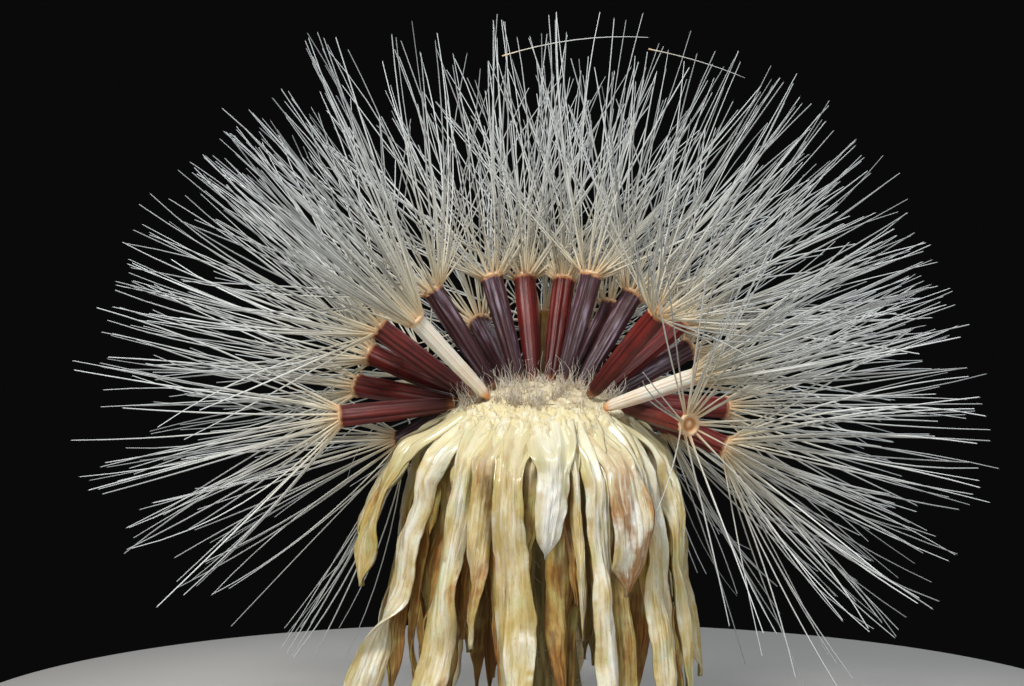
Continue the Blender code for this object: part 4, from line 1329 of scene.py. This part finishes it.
def add_blade(bm, layers, whorl, blade, number, sizes, axis):
    """Adds a blade to a bmesh, as a closed sheet."""
    uv_layer, tone_layer, stain_layer, margin_layer = layers
    length = (whorl.height - blade.lift * MM) / MM
    sides = blade_sides(whorl, blade, number, length, sizes, axis)

    def corner(spot, across, share):
        spot.z = max(spot.z, 0.0)
        vert = bm.verts.new(spot)
        vert[tone_layer] = blade.tone
        vert[stain_layer] = blade.stain
        vert[margin_layer] = abs(across)
        return vert, across, share

    def face(*cells):
        made = bm.faces.new([cell[0] for cell in cells])
        made.smooth = True
        for loop, cell in zip(made.loops, cells):
            loop[uv_layer].uv = (cell[1] * blade.widths[1] / 2, cell[2] * length)

    front, back = ([[corner(*cell) for cell in line] for line in side] for side in sides)
    last, end = BLADE_COLUMNS - 1, BLADE_ROWS - 1
    for row in range(end):
        over, under = front[row], front[row + 1]
        behind, below = back[row], back[row + 1]
        for column in range(last):
            face(over[column], over[column + 1], under[column + 1], under[column])
            face(behind[column], below[column], below[column + 1], behind[column + 1])
        face(over[0], under[0], below[0], behind[0])
        face(over[last], behind[last], below[last], under[last])
    for column in range(last):
        face(front[0][column], back[0][column], back[0][column + 1], front[0][column + 1])
        face(front[end][column], front[end][column + 1], back[end][column + 1], back[end][column])


def whorl_mesh(name, whorls, sizes, axis):
    """The blades of some whorls as one mesh."""
    bm = bmesh.new()
    layers = [bm.loops.layers.uv.new("blade")]
    layers += [bm.verts.layers.float.new(layer) for layer in ("tone", "stain", "margin")]
    for whorl in whorls:
        for number, row in enumerate(whorl.blades):
            add_blade(bm, layers, whorl, Blade(*row), number, sizes, axis)
    return finished_mesh(bm, name)


class HAWKWEED_OT_bracts(bpy.types.Operator):
    """Add the two whorls of dried bracts"""

    bl_idname = "hawkweed.bracts"
    bl_label = "Add Bracts"

    def execute(self, context):
        sizes = context.scene.hawkweed_bracts
        axis = read_axis()
        upper = bract_finish("dry_bract", sizes, 0.44)
        lower = bract_finish("dry_lower_bract", sizes, 0.56)
        mesh = whorl_mesh("upper_skirt", (UPPER_WHORL, OUTER_WHORL), sizes, axis)
        add_piece("upper_skirt", mesh, upper, "bract", "upper_bracts")
        mesh = whorl_mesh("lower_skirt", (INNER_WHORL, FILLER_WHORL, LOWER_WHORL), sizes, axis)
        add_piece("lower_skirt", mesh, lower, "lower_bract", "lower_bracts")
        return {"FINISHED"}


# Stage


class StageSettings(bpy.types.PropertyGroup):
    floor_radius: length_setting("Floor Radius", 17, "Radius of the floor")
    floor_colour: colour_setting("Floor Colour", (0.52, 0.51, 0.49), "Colour of the floor")
    backdrop: FloatProperty(name="Backdrop", description="Brightness of the backdrop", default=0.003)
    light: FloatProperty(name="Light", description="Strength of the soft lights", default=1.0)


# Soft lights: name, place from the head's middle and width in millimetres, power in watts
# and colour
LIGHTS = (
    ("key", (-42, -68, 94), 27, 0.138, (1.0, 0.98, 0.95)),
    ("fill", (85, -60, 42), 60, 0.044, (0.95, 0.97, 1.0)),
    ("rim", (20, 85, 70), 60, 0.046, (0.92, 0.96, 1.0)),
    ("low", (-20, -95, 4), 60, 0.017, (1.0, 0.98, 0.95)),
)
# Height over the floor that the lights face
LIT_HEIGHT = 9 * MM
# The camera, and the point that it looks at from the receptacle's axis
CAMERA_DISTANCE = 130 * MM
CAMERA_TILT = math.radians(6)
CAMERA_LENS = 164.5
CAMERA_AIM = Vector((-0.78 * MM, 0, 9.3 * MM + 1.583 * MM / math.cos(CAMERA_TILT)))


def soft_light(name, place, target, size, power, colour):
    """A round light that faces the target and isn't seen itself."""
    data = bpy.data.lights.new(name, "AREA")
    data.shape = "DISK"
    data.size = size
    data.energy = power
    data.color = colour
    light = bpy.data.objects.new(name, data)
    light.location = place
    light.rotation_euler = (Vector(target) - Vector(place)).to_track_quat("-Z", "Y").to_euler()
    light.visible_camera = False
    bpy.context.scene.collection.objects.link(light)


class HAWKWEED_OT_stage(bpy.types.Operator):
    """Add the floor, the lights and the camera"""

    bl_idname = "hawkweed.stage"
    bl_label = "Add Stage"

    def execute(self, context):
        settings = context.scene.hawkweed_stage
        axis = read_axis()
        rings = [(0.0, 0.0), (0.5, 0.0), (1.0, 0.0), (1.0, -0.02), (0.5, -0.02), (0.0, -0.02)]

        def corner(share, depth, turn):
            spot = heading(turn) * settings.floor_radius * share
            return Vector((spot.x, spot.y, depth * settings.floor_radius))

        floor = bpy.data.objects.new("floor", lathe("floor", rings, FLOOR_SIDES, corner))
        floor.data.materials.append(floor_finish(settings.floor_colour))
        context.scene.collection.objects.link(floor)
        floor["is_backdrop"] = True

        middle = axis + Vector((0, 0, LIT_HEIGHT))
        for name, place, size, power, colour in LIGHTS:
            place = middle + Vector(place) * MM
            soft_light(name, place, middle, size * MM, power * settings.light, colour)

        world = bpy.data.worlds.new("studio")
        context.scene.world = world
        world.use_nodes = True
        backdrop = world.node_tree.nodes["Background"]
        backdrop.inputs["Color"].default_value = (settings.backdrop,) * 3 + (1,)
        backdrop.inputs["Strength"].default_value = 1.0
        context.scene.view_settings.view_transform = "Standard"

        lens = bpy.data.cameras.new("camera")
        lens.sensor_width = 36
        lens.lens = CAMERA_LENS
        lens.clip_start = 1 * MM
        lens.clip_end = 2
        back = Vector((0, -math.cos(CAMERA_TILT), math.sin(CAMERA_TILT)))
        camera = bpy.data.objects.new("camera", lens)
        camera.location = axis + CAMERA_AIM + back * CAMERA_DISTANCE
        camera.rotation_euler = (math.pi / 2 - CAMERA_TILT, 0, 0)
        context.scene.collection.objects.link(camera)
        context.scene.camera = camera
        return {"FINISHED"}


class HAWKWEED_PT_pieces(bpy.types.Panel):
    """Lists the sizes and the operators of the seed head"""

    bl_idname = "HAWKWEED_PT_pieces"
    bl_label = "Hawkweed Seed Head"
    bl_space_type = "VIEW_3D"
    bl_region_type = "UI"
    bl_category = "Hawkweed"

    def draw(self, context):
        for name, group, operator in STEPS:
            box = self.layout.box()
            settings = getattr(context.scene, name)
            for prop in group.__annotations__:
                box.prop(settings, prop)
            box.operator(operator.bl_idname)


STEPS = (
    ("hawkweed_stage", StageSettings, HAWKWEED_OT_stage),
    ("hawkweed_bristles", BristleSizes, HAWKWEED_OT_bristle_fans),
    ("hawkweed_achenes", AcheneSizes, HAWKWEED_OT_achenes),
    ("hawkweed_receptacle", ReceptacleSizes, HAWKWEED_OT_receptacle),
    ("hawkweed_bracts", BractSizes, HAWKWEED_OT_bracts),
)


def register():
    for name, group, operator in STEPS:
        bpy.utils.register_class(group)
        bpy.utils.register_class(operator)
        setattr(bpy.types.Scene, name, PointerProperty(type=group))
    bpy.utils.register_class(HAWKWEED_PT_pieces)


def unregister():
    bpy.utils.unregister_class(HAWKWEED_PT_pieces)
    for name, group, operator in reversed(STEPS):
        delattr(bpy.types.Scene, name)
        bpy.utils.unregister_class(operator)
        bpy.utils.unregister_class(group)


def main():
    solids_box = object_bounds()
    register()
    bpy.ops.hawkweed.stage()
    bpy.ops.hawkweed.bristle_fans()
    bpy.ops.hawkweed.achenes()
    bpy.ops.hawkweed.receptacle()
    bpy.ops.hawkweed.bracts()
    boxes = {"solids": solids_box, "dressed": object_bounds()}
    boxes = {name: [list(map(float, corner)) for corner in box] for name, box in boxes.items()}


if __name__ == "__main__":
    main()
